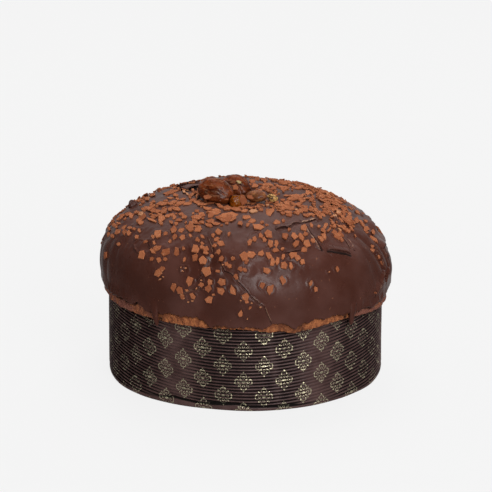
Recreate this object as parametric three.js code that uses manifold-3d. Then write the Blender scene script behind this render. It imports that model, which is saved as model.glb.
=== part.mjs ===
// A low chestnut panettone, in millimetres, +Z up, origin at the centre of the case's foot on the table.
// A ribbed paper baking case holds one loaf whose crown swells over the rim. Dark chocolate covers the crown
// down to a ragged edge with drips, milk chocolate flakes are stuck to it, and candied chestnuts sit on top.
// The front of the loaf faces -Y. Azimuths are in degrees from the front, positive towards +X.
import * as THREE from "three";
import { ParametricGeometry } from "three/addons/geometries/ParametricGeometry.js";
import { mergeVertices } from "three/addons/utils/BufferGeometryUtils.js";
import Module from "manifold-3d";

const wasm = await Module();
wasm.setup();

// Driving dimensions of the paper case.
const CASE_RADIUS = 106;
const CASE_HEIGHT = 68;
const PAPER = 0.6;
const RIB_DEPTH = 0.8;
const RIB_COUNT = 23;
const CREASE_HEIGHT = 6;
const FOLD_RADIUS = 2;
const BASE_THICKNESS = 1.2;

// Driving dimensions of the crown, measured to the outer skin of the chocolate.
const CROWN_RADIUS = 112.2;
const SHOULDER_HEIGHT = 79.9;
const CROWN_HEIGHT = 138.2;
const SIDE_FULLNESS = 2.45;
const TOP_FULLNESS = 2.83;
const LIP_RADIUS = 109.4;
const LIP_HEIGHT = 60.5;
const LIP_FULLNESS = 3;
const CROWN_SHIFT = 0.7;
const CROWN_LEAN = -6.6;
const CRATER_RADIUS = 34;
const CRATER_DEPTH = 2.5;

// Driving dimensions of the chocolate and of what sticks to it.
const GLAZE = 2.2;
const EDGE_HEIGHT = 73.8;
const FLAKE_COUNT = 96;
const FLAKE_SIZE = [5.2, 8.4];
const FLAKE_CORNERS = 5;
const FLAKE_THICKNESS = 2;
const FLAKE_PROUD = 1;
const FLAKE_SPACING = 8.8;
const SLAB_THICKNESS = 3;
const SLAB_PROUD = 1.1;
const SLAB_TILT = 2.5;
const SLAB_SKEW = 0.12;
const DRIP_THICKNESS = 4.6;
const DRIP_RADIUS = 110.2;

// Shared by all pieces: the gap between neighbours, and how finely round shapes are divided.
const GAP = 0.35;
const SEGMENTS = 36;
const CROWN_ROWS = 11;
const BELLY_PLACE = 0.1;

// Drips of chocolate that run past the edge: azimuth, width, height of the tip.
const DRIPS = [
  [-38, 7, 61], [-12, 9, 66], [20, 8, 64.5], [47, 8, 56], [82, 7, 61], [108, 6, 55], [137, 9, 63],
  [163, 7, 54], [190, 8, 64], [214, 7, 57], [239, 9, 64], [262, 6, 55], [289, 8, 62],
];
// Slabs where the chocolate cracked and slid over itself: azimuth, height, width, length, turn in degrees.
const SLABS = [
  [32, 126.3, 30, 22, -8], [50, 121.7, 20, 20, 14], [97, 119.5, 22, 26, 6], [-51, 118, 13, 12, 10],
  [150, 120, 24, 22, -12], [222, 116, 20, 18, 20],
];
// Candied chestnuts and pieces on top: centre, half sizes along their own axes, turn about Z in degrees,
// depth and number of the folds left by the shell, colour, fineness of the mesh.
const CHESTNUTS = [
  ["chestnut_left", [-22.5, -8, 145.3], [14.5, 12, 10.7], 12, 0.09, 7, 0x4a2114, 3],
  ["chestnut_back", [-7, 14, 140.6], [12.5, 10.5, 10.5], -20, 0.09, 6, 0x4a2114, 3],
  ["chestnut_right", [9.3, -8, 140.8], [8.4, 5.6, 4.8], -6, 0.07, 5, 0x6b3a1e, 2],
  ["chestnut_front", [-6.6, -18.5, 139.9], [5.2, 5.6, 5.4], 30, 0.06, 4, 0x8a4f14, 2],
  ["chestnut_crumb", [21.2, -9, 139.6], [4.2, 3.4, 2.8], 15, 0.12, 5, 0xa98a4a, 1],
];

const radians = THREE.MathUtils.degToRad;
const { clamp, lerp, smoothstep } = THREE.MathUtils;

// Repeatable draws between 0 and 1.
function seeded(seed) {
  let state = seed >>> 0;
  return () => {
    state = (state + 0x6d2b79f5) >>> 0;
    let mixed = Math.imul(state ^ (state >>> 15), 1 | state);
    mixed = (mixed + Math.imul(mixed ^ (mixed >>> 7), 61 | mixed)) ^ mixed;
    return ((mixed ^ (mixed >>> 14)) >>> 0) / 4294967296;
  };
}

// Point at a radius and height on an azimuth, about the case's axis.
function around(azimuth, radius, height) {
  const a = radians(azimuth);
  return new THREE.Vector3(radius * Math.sin(a), -radius * Math.cos(a), height);
}

// Height of the crown's lip, which hangs outside the case: highest at the front left.
function lipHeight(azimuth) {
  return LIP_HEIGHT + 3 * Math.cos(radians(azimuth + 35)) + 2 * Math.cos(2 * radians(azimuth + 30));
}

// Height at which the chocolate stops: highest at the front left, wavy all round.
function edgeHeight(azimuth) {
  const a = radians(azimuth);
  return EDGE_HEIGHT - 3.2 * Math.sin(a + 0.1) + 1.2 * Math.sin(5 * a + 0.6) + 0.8 * Math.sin(9 * a - 1);
}

// Half section of the crown as [radius, height]. The place runs from -1 at the lip, through 0 at the
// widest ring, to 1 at the apex: a quarter of one superellipse below the ring and of another above it.
function crownSection(azimuth, place) {
  const turn = (Math.abs(place) * Math.PI) / 2;
  if (place < 0) {
    const bulge = (CROWN_RADIUS - LIP_RADIUS) * Math.cos(turn) ** (2 / LIP_FULLNESS);
    const drop = (SHOULDER_HEIGHT - lipHeight(azimuth)) * Math.sin(turn) ** (2 / LIP_FULLNESS);
    return [LIP_RADIUS + bulge, SHOULDER_HEIGHT - drop];
  }
  const radius = CROWN_RADIUS * Math.max(0, Math.cos(turn)) ** (2 / SIDE_FULLNESS);
  return [radius, SHOULDER_HEIGHT + (CROWN_HEIGHT - SHOULDER_HEIGHT) * Math.sin(turn) ** (2 / TOP_FULLNESS)];
}

// The place at which the plain section has a given height.
function placeAtHeight(azimuth, height) {
  if (height < SHOULDER_HEIGHT) {
    const sine = ((SHOULDER_HEIGHT - height) / (SHOULDER_HEIGHT - lipHeight(azimuth))) ** (LIP_FULLNESS / 2);
    return (-2 / Math.PI) * Math.asin(Math.min(1, sine));
  }
  const sine = ((height - SHOULDER_HEIGHT) / (CROWN_HEIGHT - SHOULDER_HEIGHT)) ** (TOP_FULLNESS / 2);
  return (2 / Math.PI) * Math.asin(Math.min(1, sine));
}

// Swell of the dough away from the plain section: broad lobes at the front and back, which fade at the
// sides, at the lip and at the apex.
function swell(azimuth, place) {
  const a = radians(azimuth);
  const fade = Math.cos(a) * Math.sin(Math.PI * clamp(place * 0.5 + 0.5, 0, 1)) ** 2;
  const broad = 0.9 * Math.sin(3 * a + 0.8) + 0.8 * Math.sin(5 * a - 1.1 + 3 * place);
  return fade * (broad + 0.6 * Math.sin(8 * a + 5 * place));
}

// Point of the crown, raised from the chocolate's skin along the section's normal. The crown leans off
// the case's axis and has a shallow crater round its apex.
function crownPoint(azimuth, place, raise) {
  const step = 0.004;
  const [r, z] = crownSection(azimuth, place);
  const [r0, z0] = crownSection(azimuth, Math.max(-1, place - step));
  const [r1, z1] = crownSection(azimuth, Math.min(1, place + step));
  const length = Math.hypot(r1 - r0, z1 - z0);
  const lift = raise + swell(azimuth, place);
  const radius = place >= 1 ? 0 : Math.max(0, r + ((z1 - z0) / length) * lift);
  const crater = CRATER_DEPTH * (1 - smoothstep(radius, 0, CRATER_RADIUS));
  const height = z + ((r0 - r1) / length) * lift - crater;
  const climb = clamp((height - SHOULDER_HEIGHT) / (CROWN_HEIGHT - SHOULDER_HEIGHT), 0, 1);
  const point = around(azimuth, radius, height);
  point.x += smoothstep(height, CASE_HEIGHT, SHOULDER_HEIGHT) * CROWN_SHIFT + climb * CROWN_LEAN;
  return point;
}

// Points down the crown at one azimuth: evenly from the apex to the belly, then on to a lower place.
function crownColumn(azimuth, lowest, lowerRows, raise) {
  const points = [crownPoint(0, 1, raise)];
  for (let i = 1; i <= CROWN_ROWS; i++) {
    points.push(crownPoint(azimuth, lerp(1, BELLY_PLACE, i / CROWN_ROWS), raise));
  }
  for (let i = 1; i <= lowerRows; i++) {
    points.push(crownPoint(azimuth, lerp(BELLY_PLACE, lowest, i / lowerRows), raise));
  }
  return points;
}

// A closed body turned about the Z axis from section(azimuth), a list of points from the apex down to
// the axis at the foot. The section may change with azimuth.
function turned(section) {
  const sections = [];
  for (let i = 0; i <= SEGMENTS; i++) sections.push(section((360 * (i % SEGMENTS)) / SEGMENTS));
  const steps = sections[0].length - 1;
  return new ParametricGeometry(
    (u, v, target) => target.copy(sections[Math.round(v * SEGMENTS)][Math.round(u * steps)]),
    steps,
    SEGMENTS,
  );
}

// A closed geometry as a solid that can be joined and cut.
function solid(geometry) {
  const bare = new THREE.BufferGeometry().setAttribute("position", geometry.getAttribute("position"));
  if (geometry.index) bare.setIndex(geometry.index);
  const merged = mergeVertices(bare, 1e-4);
  return new wasm.Manifold(
    new wasm.Mesh({
      numProp: 3,
      vertProperties: new Float32Array(merged.attributes.position.array),
      triVerts: new Uint32Array(merged.index.array),
    }),
  );
}

// The largest body of a solid, as a geometry.
function geometryOf(made) {
  const bodies = made.decompose().sort((a, b) => b.volume() - a.volume());
  const mesh = bodies[0].getMesh();
  const positions = new Float32Array(mesh.numVert * 3);
  for (let i = 0; i < mesh.numVert; i++) {
    positions.set(mesh.vertProperties.subarray(i * mesh.numProp, i * mesh.numProp + 3), i * 3);
  }
  const geometry = new THREE.BufferGeometry();
  geometry.setAttribute("position", new THREE.BufferAttribute(positions, 3));
  geometry.setIndex(new THREE.BufferAttribute(new Uint32Array(mesh.triVerts), 1));
  geometry.computeVertexNormals();
  return geometry;
}

// The paper case: a cup with a ribbed wall, a crease above the turned-under foot fold and a flat base.
function paperCase() {
  const outline = new THREE.Path();
  outline.moveTo(0, 0);
  outline.lineTo(CASE_RADIUS - FOLD_RADIUS, 0);
  outline.absarc(CASE_RADIUS - FOLD_RADIUS, FOLD_RADIUS, FOLD_RADIUS, -Math.PI / 2, 0);
  const pitch = (CASE_HEIGHT - CREASE_HEIGHT) / RIB_COUNT;
  for (let i = 0; i <= RIB_COUNT * 2; i++) {
    outline.lineTo(CASE_RADIUS - (i % 2 === 0 ? RIB_DEPTH : 0), CREASE_HEIGHT + (i * pitch) / 2);
  }
  const inside = CASE_RADIUS - RIB_DEPTH - PAPER;
  outline.lineTo(inside, CASE_HEIGHT);
  outline.lineTo(inside, FOLD_RADIUS);
  outline.lineTo(inside - FOLD_RADIUS / 2, BASE_THICKNESS);
  outline.lineTo(0, BASE_THICKNESS);
  return new THREE.LatheGeometry(outline.getPoints(3), SEGMENTS).rotateX(Math.PI / 2);
}

// The loaf: the crown down to its lip, whose underside hooks over the case's rim, and the straight body
// that fills the case. raise moves the crown's skin out from the chocolate's outer skin, or in from it.
function loaf(raise) {
  const bodyRadius = CASE_RADIUS - RIB_DEPTH - PAPER - 2 * GAP;
  const hook = 0.9;
  return turned((azimuth) => {
    const column = crownColumn(azimuth, -0.97, 4, raise);
    const under = column[column.length - 1].z + hook;
    return [
      ...column,
      around(azimuth, CASE_RADIUS + GAP, under),
      around(azimuth, CASE_RADIUS + GAP, CASE_HEIGHT + GAP),
      around(azimuth, bodyRadius, CASE_HEIGHT + GAP),
      around(azimuth, bodyRadius, FOLD_RADIUS + GAP),
      around(azimuth, bodyRadius - FOLD_RADIUS / 2, BASE_THICKNESS + GAP),
      new THREE.Vector3(0, 0, BASE_THICKNESS + GAP),
    ];
  });
}

// All that lies under the chocolate's outer skin, closed inside the loaf below the ragged edge.
function underSkin(raise) {
  return turned((azimuth) => {
    const lowest = placeAtHeight(azimuth, edgeHeight(azimuth));
    return [
      ...crownColumn(azimuth, lowest, 2, raise),
      crownPoint(azimuth, lowest, -3 * GLAZE),
      new THREE.Vector3(0, 0, CASE_HEIGHT),
    ];
  });
}

// A drip: an egg of chocolate, widest near the edge it leaves, leaning in towards the case at its tip.
function drip([azimuth, width, tip]) {
  const top = edgeHeight(azimuth) + 3;
  const outline = [new THREE.Vector2(0, 0)];
  for (const [down, wide] of [[0.3, 0.45], [0.6, 0.85], [0.85, 1], [0.97, 0.6]]) {
    outline.push(new THREE.Vector2((wide * width) / 2, down * (top - tip)));
  }
  outline.push(new THREE.Vector2(0, top - tip));
  const geometry = new THREE.LatheGeometry(outline, 8).rotateX(Math.PI / 2).scale(1, DRIP_THICKNESS / width, 1);
  const start = around(azimuth, DRIP_RADIUS, tip);
  return geometry.rotateZ(radians(azimuth)).translate(start.x + CROWN_SHIFT, start.y, start.z);
}

// Turns a flat geometry, whose underside is at z = 0, to lie along the crown, sunk to a given depth.
function laidOnCrown(geometry, azimuth, place, sunk, tilt) {
  const seat = crownPoint(azimuth, place, -sunk);
  const out = crownPoint(azimuth, place, 1).sub(seat).normalize().add(tilt).normalize();
  const level = new THREE.Vector3().crossVectors(new THREE.Vector3(0, 0, 1), out).normalize();
  const uphill = new THREE.Vector3().crossVectors(out, level);
  const frame = new THREE.Matrix4().makeBasis(level, uphill, out).setPosition(seat);
  return geometry.applyMatrix4(frame);
}

// A slab: a four-cornered plate of chocolate, its lower edge standing prouder than its upper one.
function slab([azimuth, height, width, length, turn]) {
  const shape = new THREE.Shape();
  shape.moveTo(-width / 2, -length * (0.5 - SLAB_SKEW));
  shape.lineTo(width * (0.5 - SLAB_SKEW), -length / 2);
  shape.lineTo(width / 2, length * (0.5 - SLAB_SKEW));
  shape.lineTo(-width * (0.5 - SLAB_SKEW), length / 2);
  const plate = new THREE.ExtrudeGeometry(shape, { depth: SLAB_THICKNESS, bevelEnabled: false });
  plate.rotateZ(radians(turn)).rotateX(radians(-SLAB_TILT));
  const place = placeAtHeight(azimuth, height);
  return laidOnCrown(plate, azimuth, place, SLAB_THICKNESS - SLAB_PROUD, new THREE.Vector3());
}

// Share of the skin that flakes cover: full near the top, thinning out down to a floor that dips at the front.
function flakeChance(azimuth, height) {
  const front = Math.max(0, Math.cos(radians(azimuth + 8)));
  const floor = 104 - 21 * front ** 3 + 3 * Math.sin(radians(azimuth) * 4);
  return smoothstep(height, floor, 122) ** 0.7;
}

// A flake: a chip of chocolate with uneven corners, half sunk in the skin.
function flake(random, azimuth, place, size) {
  const stretch = lerp(0.7, 1, random());
  const shape = new THREE.Shape();
  for (let i = 0; i < FLAKE_CORNERS; i++) {
    const turn = ((i + 0.5 * (random() - 0.5)) / FLAKE_CORNERS) * 2 * Math.PI;
    const reach = (size / 2) * lerp(0.85, 1.15, random());
    const corner = [reach * Math.cos(turn), reach * stretch * Math.sin(turn)];
    if (i === 0) shape.moveTo(...corner);
    else shape.lineTo(...corner);
  }
  const chip = new THREE.ExtrudeGeometry(shape, { depth: FLAKE_THICKNESS, bevelEnabled: false });
  const tilt = new THREE.Vector3(random() - 0.5, random() - 0.5, random() - 0.5).multiplyScalar(0.16);
  chip.rotateZ(random() * 2 * Math.PI);
  return laidOnCrown(chip, azimuth, place, FLAKE_THICKNESS - FLAKE_PROUD, tilt);
}

// Every flake, largest first, spread by seeded draws: each keeps clear of the others and of the chestnuts.
function flakes() {
  const random = seeded(2611);
  const seats = [];
  const made = [];
  const apex = 0.985;
  for (let tries = 0; tries < 9000 && made.length < FLAKE_COUNT; tries++) {
    const azimuth = 360 * random();
    const place = apex * (1 - (2 / Math.PI) * Math.asin(Math.sqrt(random())));
    const seat = crownPoint(azimuth, place, 0);
    if (random() > flakeChance(azimuth, seat.z)) continue;
    if (seats.some((other) => other.distanceTo(seat) < FLAKE_SPACING)) continue;
    const size = lerp(FLAKE_SIZE[1], FLAKE_SIZE[0], made.length / FLAKE_COUNT);
    const clear = ([, at, half]) => {
      return seat.distanceTo(new THREE.Vector3(...at)) > Math.max(...half) + size * 0.6;
    };
    if (!CHESTNUTS.every(clear)) continue;
    seats.push(seat);
    made.push(flake(random, azimuth, place, size));
  }
  return made;
}

// A chestnut: a ball stretched to its half sizes, with folds running over it and one flatter side.
function chestnut([, at, half, turn, fold, folds, , detail], grow) {
  const geometry = new THREE.IcosahedronGeometry(1, detail);
  const positions = geometry.getAttribute("position");
  const point = new THREE.Vector3();
  for (let i = 0; i < positions.count; i++) {
    point.fromBufferAttribute(positions, i).normalize();
    const groove = Math.sin(folds * point.x + 1.3 * Math.sin(3 * point.y)) * Math.cos(2 * point.y + folds);
    point.multiplyScalar(1 + fold * groove - 0.08 * Math.max(0, point.y * point.z));
    positions.setXYZ(i, point.x * (half[0] + grow), point.y * (half[1] + grow), point.z * (half[2] + grow));
  }
  return geometry.rotateZ(radians(turn)).translate(...at);
}

const panettone = new THREE.Group();

function addPiece(name, geometry, color, roughness) {
  const piece = new THREE.Mesh(geometry, new THREE.MeshStandardMaterial({ color, roughness, metalness: 0 }));
  piece.name = name;
  panettone.add(piece);
}

addPiece("paper_case", paperCase(), 0x33241f, 0.6);
addPiece("loaf", loaf(-GLAZE), 0x9a5326, 0.9);

// The chocolate: what lies under the skin, joined with its drips, slabs and flakes, less the loaf and
// the outside of the case.
const guard = CASE_RADIUS + GAP;
const rimGuard = new THREE.CylinderGeometry(guard, guard, 2 * (CASE_HEIGHT + GAP), SEGMENTS);
const stuckOn = [...DRIPS.map(drip), ...SLABS.map(slab), ...flakes()];
const chocolate = wasm.Manifold.union([solid(underSkin(0)), ...stuckOn.map(solid)])
  .subtract(solid(loaf(GAP - GLAZE)))
  .subtract(solid(rimGuard.rotateX(Math.PI / 2)));
addPiece("chocolate_glaze", geometryOf(chocolate), 0x4a2d27, 0.35);

// Each chestnut is seated in the chocolate, clear of it and of the chestnuts set down before it.
let seated = solid(underSkin(GAP));
for (const nut of CHESTNUTS) {
  const [name, , , , , , color] = nut;
  addPiece(name, geometryOf(solid(chestnut(nut, 0)).subtract(seated)), color, 0.3);
  seated = seated.add(solid(chestnut(nut, GAP)));
}

export default panettone;
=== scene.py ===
import bpy
import numpy as np
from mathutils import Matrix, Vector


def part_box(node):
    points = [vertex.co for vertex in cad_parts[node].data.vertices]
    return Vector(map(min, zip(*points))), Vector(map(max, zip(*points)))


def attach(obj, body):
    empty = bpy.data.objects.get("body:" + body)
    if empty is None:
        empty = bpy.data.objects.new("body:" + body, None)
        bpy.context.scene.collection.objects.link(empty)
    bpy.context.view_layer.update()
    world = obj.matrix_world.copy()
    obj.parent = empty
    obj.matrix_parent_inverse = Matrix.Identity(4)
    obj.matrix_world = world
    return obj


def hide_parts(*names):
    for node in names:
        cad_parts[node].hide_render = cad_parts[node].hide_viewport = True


# The panettone as it was modelled. Its lowest and highest corners are noted before it is dressed.
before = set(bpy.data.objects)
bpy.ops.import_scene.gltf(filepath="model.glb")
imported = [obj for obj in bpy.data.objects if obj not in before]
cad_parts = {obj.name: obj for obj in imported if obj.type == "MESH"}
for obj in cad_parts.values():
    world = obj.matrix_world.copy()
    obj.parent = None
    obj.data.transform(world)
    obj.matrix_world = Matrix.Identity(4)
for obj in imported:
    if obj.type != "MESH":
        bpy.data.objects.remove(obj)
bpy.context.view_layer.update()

# The view. The photograph looks down on the front from three metres away through a long lens, so that near
# and far sides are almost the same size in it. The pixels named in this file are pixels of that picture.
MM = 0.001
IMAGE_SIZE = 492
FILM_WIDTH = 36.0
VIEW_RISE = np.radians(19.0)
VIEW_DISTANCE = 3.0
AIM_HEIGHT = 70 * MM
AIM_PIXEL = (245.0, 279.5)
FOCAL_PIXELS = 1290 * VIEW_DISTANCE

camera = bpy.data.objects.new("camera", bpy.data.cameras.new("camera"))
bpy.context.scene.collection.objects.link(camera)
bpy.context.scene.camera = camera
camera.data.sensor_width = FILM_WIDTH
camera.data.lens = FOCAL_PIXELS / IMAGE_SIZE * FILM_WIDTH
camera.location = (0, -VIEW_DISTANCE * np.cos(VIEW_RISE), AIM_HEIGHT + VIEW_DISTANCE * np.sin(VIEW_RISE))
pitch = VIEW_RISE - np.arctan((AIM_PIXEL[1] - IMAGE_SIZE / 2) / FOCAL_PIXELS)
yaw = np.arctan((AIM_PIXEL[0] - IMAGE_SIZE / 2) / FOCAL_PIXELS)
camera.rotation_euler = (np.pi / 2 - pitch, 0, yaw)
bpy.context.view_layer.update()
eye = np.array(camera.matrix_world.translation)
eye_axes = np.array(camera.matrix_world.to_3x3())


def to_pixels(points):
    """Where points in millimetres show in the picture: their offset from the eye, divided by their
    depth."""
    offset = (points * MM - eye) @ eye_axes
    across = IMAGE_SIZE / 2 - FOCAL_PIXELS * offset[..., 0] / offset[..., 2]
    down = IMAGE_SIZE / 2 + FOCAL_PIXELS * offset[..., 1] / offset[..., 2]
    return np.stack([across, down], axis=-1)


# The paper case. A cup of dark brown baking paper, corrugated in fine level ribs that dip a little at the
# front and back, pinched in along a crease and turned under at the foot, and printed with small pale gold
# rosettes. The ink lies on the crests of the ribs, so the grooves break it up.
_, case_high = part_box("paper_case")
CASE_RADIUS = case_high[0] / MM
CASE_HEIGHT = case_high[2] / MM
INNER_RADIUS = CASE_RADIUS - 2.8
RIB_PITCH = 2.6
RIB_DEPTH = 1.5
RIB_DIP = 9.5
CREASE_DEPTH = 2.2
CREASE_WIDTH = 1.0

# The crease, read off at the front and guessed round the back: azimuth, height and share of the full depth.
CREASE_LINE = [
    (-180, 5, 0.6), (-120, 5.6, 0.5), (-60, 3.6, 0.2), (-38, 4.4, 0.4), (-31, 6.6, 0.9), (-24, 5.4, 1),
    (-19, 4.8, 1), (-9, 5.6, 1), (-3, 6.2, 1), (0, 4.4, 0.7), (4, 4.2, 0.9), (17, 3.7, 1), (24, 3.2, 0.5),
    (40, 3, 0.2), (60, 3.4, 0.2), (120, 5.4, 0.5), (180, 5, 0.6),
]
FOLD_RADIUS = 2.2
BOTTOM_THICKNESS = 1.2
CASE_COLUMNS = 400
ROWS_PER_RIB = 8
ROSETTE_COLUMNS = 42
ROSETTE_RISE = 24.8
ROSETTE_START = 24.4
TIP_DISTANCE = 7.8
PRINT_WIDTH = 2 * np.pi * CASE_RADIUS


def waves(points, length, seed):
    """Smooth noise of about -1 to 1: a sum of cosines, each along its own drawn direction, near one
    wavelength in millimetres."""
    count = 24
    draw = np.random.default_rng(seed)
    direction = draw.normal(size=(count, 3))
    direction /= np.linalg.norm(direction, axis=1, keepdims=True)
    direction *= 2 * np.pi / length * draw.uniform(0.7, 1.4, (count, 1))
    phase = draw.uniform(0, 2 * np.pi, count)
    return np.cos(points @ direction.T + phase).sum(axis=-1) * np.sqrt(0.5 / count)


def smoothstep(value, low, high):
    """0 below low, 1 above high, and a smooth climb between them."""
    share = np.clip((value - low) / (high - low), 0, 1)
    return share * share * (3 - 2 * share)


def bell(value, middle, width):
    """A bell curve: 1 at the middle, about a third at one width from it, and soon nothing."""
    return np.exp(-(((value - middle) / width) ** 2))


def from_front(azimuth):
    """The same azimuth between -180 and 180 degrees, with 0 at the front."""
    return (azimuth + 180) % 360 - 180


def around(azimuth, radius, height):
    """Points at an azimuth in degrees from the front, towards +X, at a radius and a height."""
    turn = np.radians(azimuth)
    return np.stack(np.broadcast_arrays(radius * np.sin(turn), -radius * np.cos(turn), height), axis=-1)


def shell_faces(rows, columns):
    """Faces of a shape turned about the axis: quads between rings of points, and a fan round each end's
    pole, whose two points follow the rings."""
    ring, step = np.meshgrid(np.arange(rows - 1), np.arange(columns), indexing="ij")
    here, after = ring * columns + step, ring * columns + (step + 1) % columns
    quads = np.stack([here, here + columns, after + columns, after], axis=-1).reshape(-1, 4)
    first, last = np.arange(columns), (rows - 1) * columns + np.arange(columns)
    start, end = rows * columns, rows * columns + 1
    top = np.stack([np.full(columns, start), first, np.roll(first, -1)], axis=-1)
    bottom = np.stack([np.full(columns, end), np.roll(last, -1), last], axis=-1)
    return [quads, top, bottom]


def make_piece(name, points, faces, material, slot, *nodes, smooth=True):
    """A mesh from points in millimetres and arrays of faces, which rides on the object in place of some of
    its nodes."""
    mesh = bpy.data.meshes.new(name)
    corners = np.concatenate([part.ravel() for part in faces])
    sides = np.concatenate([np.full(len(part), part.shape[1]) for part in faces])
    mesh.vertices.add(len(points))
    mesh.vertices.foreach_set("co", (points * MM).ravel())
    mesh.loops.add(len(corners))
    mesh.loops.foreach_set("vertex_index", corners)
    mesh.polygons.add(len(sides))
    mesh.polygons.foreach_set("loop_start", np.cumsum(sides) - sides)
    mesh.polygons.foreach_set("use_smooth", np.full(len(sides), smooth))
    mesh.update(calc_edges=True)
    mesh.materials.append(material)
    piece = bpy.data.objects.new(name, mesh)
    bpy.context.scene.collection.objects.link(piece)
    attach(piece, "root")
    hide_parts(*nodes)
    return piece


def rib_height(azimuth, height):
    """Height measured along the ribs, which dip at the front and back of the case."""
    return height - RIB_DIP * np.sin(np.radians(azimuth)) ** 2


def case_wall(azimuth, height):
    """How far the wall lies inside the case's radius in its ribs, its crease and its dents. The ribs are
    cosines, less deep where the paper was stretched. The crease is a sharp bell across its line above the
    foot. The dents are smooth noise, a foot that isn't quite round and a rim that flares at the right."""
    place = around(azimuth, CASE_RADIUS, height)
    crest = 0.5 + 0.5 * np.cos(2 * np.pi * rib_height(azimuth, height) / RIB_PITCH)
    turned = from_front(azimuth)
    sideways = np.abs(turned)
    line = np.array(CREASE_LINE, float).T
    over = height - np.interp(turned, line[0], line[1])
    ribbed = smoothstep(over, -1.5, 2) * 0.8 + 0.2
    stretched = bell(sideways, 31, 13) + bell(sideways, 135, 20)
    stretched = np.maximum(stretched, 0.7 * bell(turned - 12 + 0.07 * (height - 34), 0, 2.6))
    stretched = np.maximum(stretched, 0.3 * bell(turned, 0, 24))
    depth = RIB_DEPTH * (1.15 - 0.8 * stretched) * (0.88 + 0.12 * waves(place, 60, 11))
    pinch = np.interp(turned, line[0], line[2]) * (0.8 + 0.2 * waves(place * [1, 1, 0], 45, 12))
    pinch = CREASE_DEPTH * pinch * bell(over, 0, CREASE_WIDTH)
    dents = 0.25 - 0.25 * waves(place, 55, 13)
    flat = 2.4 * bell(turned, -14, 24) - 1.5 * bell(sideways, 62, 16)
    flare = bell(turned, 90, 30) * (0.5 + 1.4 * smoothstep(height, 50, 66))
    return depth * ribbed * (1 - crest ** 1.1), pinch, dents + flat * smoothstep(height, 30, 4) - flare


azimuths = np.arange(CASE_COLUMNS) * 360 / CASE_COLUMNS
wall_rows = np.arange(CASE_HEIGHT, FOLD_RADIUS, -RIB_PITCH / ROWS_PER_RIB)
rings = [around(azimuths, radius, BOTTOM_THICKNESS) for radius in (30, 70, INNER_RADIUS - 7)]
rings += [around(azimuths, INNER_RADIUS - 6 * smoothstep(height, 36, 10), height)
          for height in (2.5, 10, 23, 36, 58, CASE_HEIGHT - 0.3)]
rim_wave = 0.35 * waves(around(azimuths, CASE_RADIUS, 0), 30, 14)
rings.append(around(azimuths, INNER_RADIUS + 0.4, CASE_HEIGHT + rim_wave))
groove_rows = [0 * azimuths] * len(rings)
for height in wall_rows:
    lifted = height + rim_wave * smoothstep(height, CASE_HEIGHT - 6, CASE_HEIGHT)
    rib, pinch, dents = case_wall(azimuths, lifted)
    rings.append(around(azimuths, CASE_RADIUS - rib - pinch - dents, lifted))
    groove_rows.append(np.minimum(rib / RIB_DEPTH + pinch / CREASE_DEPTH * 1.4, 1))
for turn in np.radians((0, 20, 40, 60, 80)):
    fold = CASE_RADIUS - sum(case_wall(azimuths, FOLD_RADIUS)) - FOLD_RADIUS * (1 - np.cos(turn))
    rings.append(around(azimuths, fold, FOLD_RADIUS * (1 - np.sin(turn))))
rings += [around(azimuths, radius, 0.0) for radius in (100, 70, 30)]
grooves = np.concatenate([*groove_rows, np.zeros((len(rings) - len(groove_rows)) * CASE_COLUMNS + 2)])
case_points = np.concatenate([*rings, [[0, 0, BOTTOM_THICKNESS], [0, 0, 0]]])
case_faces = shell_faces(len(rings), CASE_COLUMNS)


def seen(red, green, blue):
    """A colour as it is seen, 0 to 255 in each channel, as the light that a surface gives back."""
    share = np.array([red, green, blue]) / 255
    linear = np.where(share <= 0.04045, share / 12.92, ((share + 0.055) / 1.055) ** 2.4)
    return (*linear, 1.0)


def add_node(tree, kind, inputs, **settings):
    """Adds a shader node with its inputs, by name or number, and its settings. An input that is given a
    socket is linked to it."""
    made = tree.nodes.new("ShaderNode" + kind)
    for setting, value in settings.items():
        setattr(made, setting, value)
    for place, given in inputs.items():
        if isinstance(given, bpy.types.NodeSocket):
            tree.links.new(given, made.inputs[place])
        else:
            made.inputs[place].default_value = given
    return made


def calculate(tree, operation, first, second=0.0):
    """One step of arithmetic on two sockets or numbers."""
    return add_node(tree, "Math", {0: first, 1: second}, operation=operation).outputs[0]


def climb(tree, value, low, high, start=0.0, end=1.0):
    """A smooth climb from start to end while the value goes from low to high."""
    inputs = {"Value": value, "From Min": low, "From Max": high, "To Min": start, "To Max": end}
    return add_node(tree, "MapRange", inputs, interpolation_type="SMOOTHSTEP").outputs[0]


def multiply(tree, first, second):
    """The product of two sockets or numbers."""
    return calculate(tree, "MULTIPLY", first, second)


def kept_value(tree, name):
    """The number that a piece keeps for each of its points under a name."""
    return add_node(tree, "Attribute", {}, attribute_name=name).outputs["Fac"]


def mix_colours(tree, share, first, second):
    """The first colour where the share is 0, and the second where it is 1."""
    return add_node(tree, "Mix", {0: share, 6: first, 7: second}, data_type="RGBA").outputs[2]


def noise(tree, scale, detail=3.0, roughness=0.5, stretch=(1, 1, 1)):
    """Noise at some grains a metre on the object's own coordinates, of about 0.3 to 0.7."""
    place = add_node(tree, "TexCoord", {}).outputs["Object"]
    place = add_node(tree, "Mapping", {"Vector": place, "Scale": stretch}).outputs[0]
    inputs = {"Vector": place, "Scale": scale, "Detail": detail, "Roughness": roughness}
    return add_node(tree, "TexNoise", inputs).outputs[0]


def new_finish(name, roughness, specular):
    """An empty material, its node tree and its surface shader."""
    material = bpy.data.materials.new(name)
    material.use_nodes = True
    tree = material.node_tree
    shader = tree.nodes["Principled BSDF"]
    shader.inputs["Roughness"].default_value = roughness
    shader.inputs["Specular IOR Level"].default_value = specular
    return material, tree, shader


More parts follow.
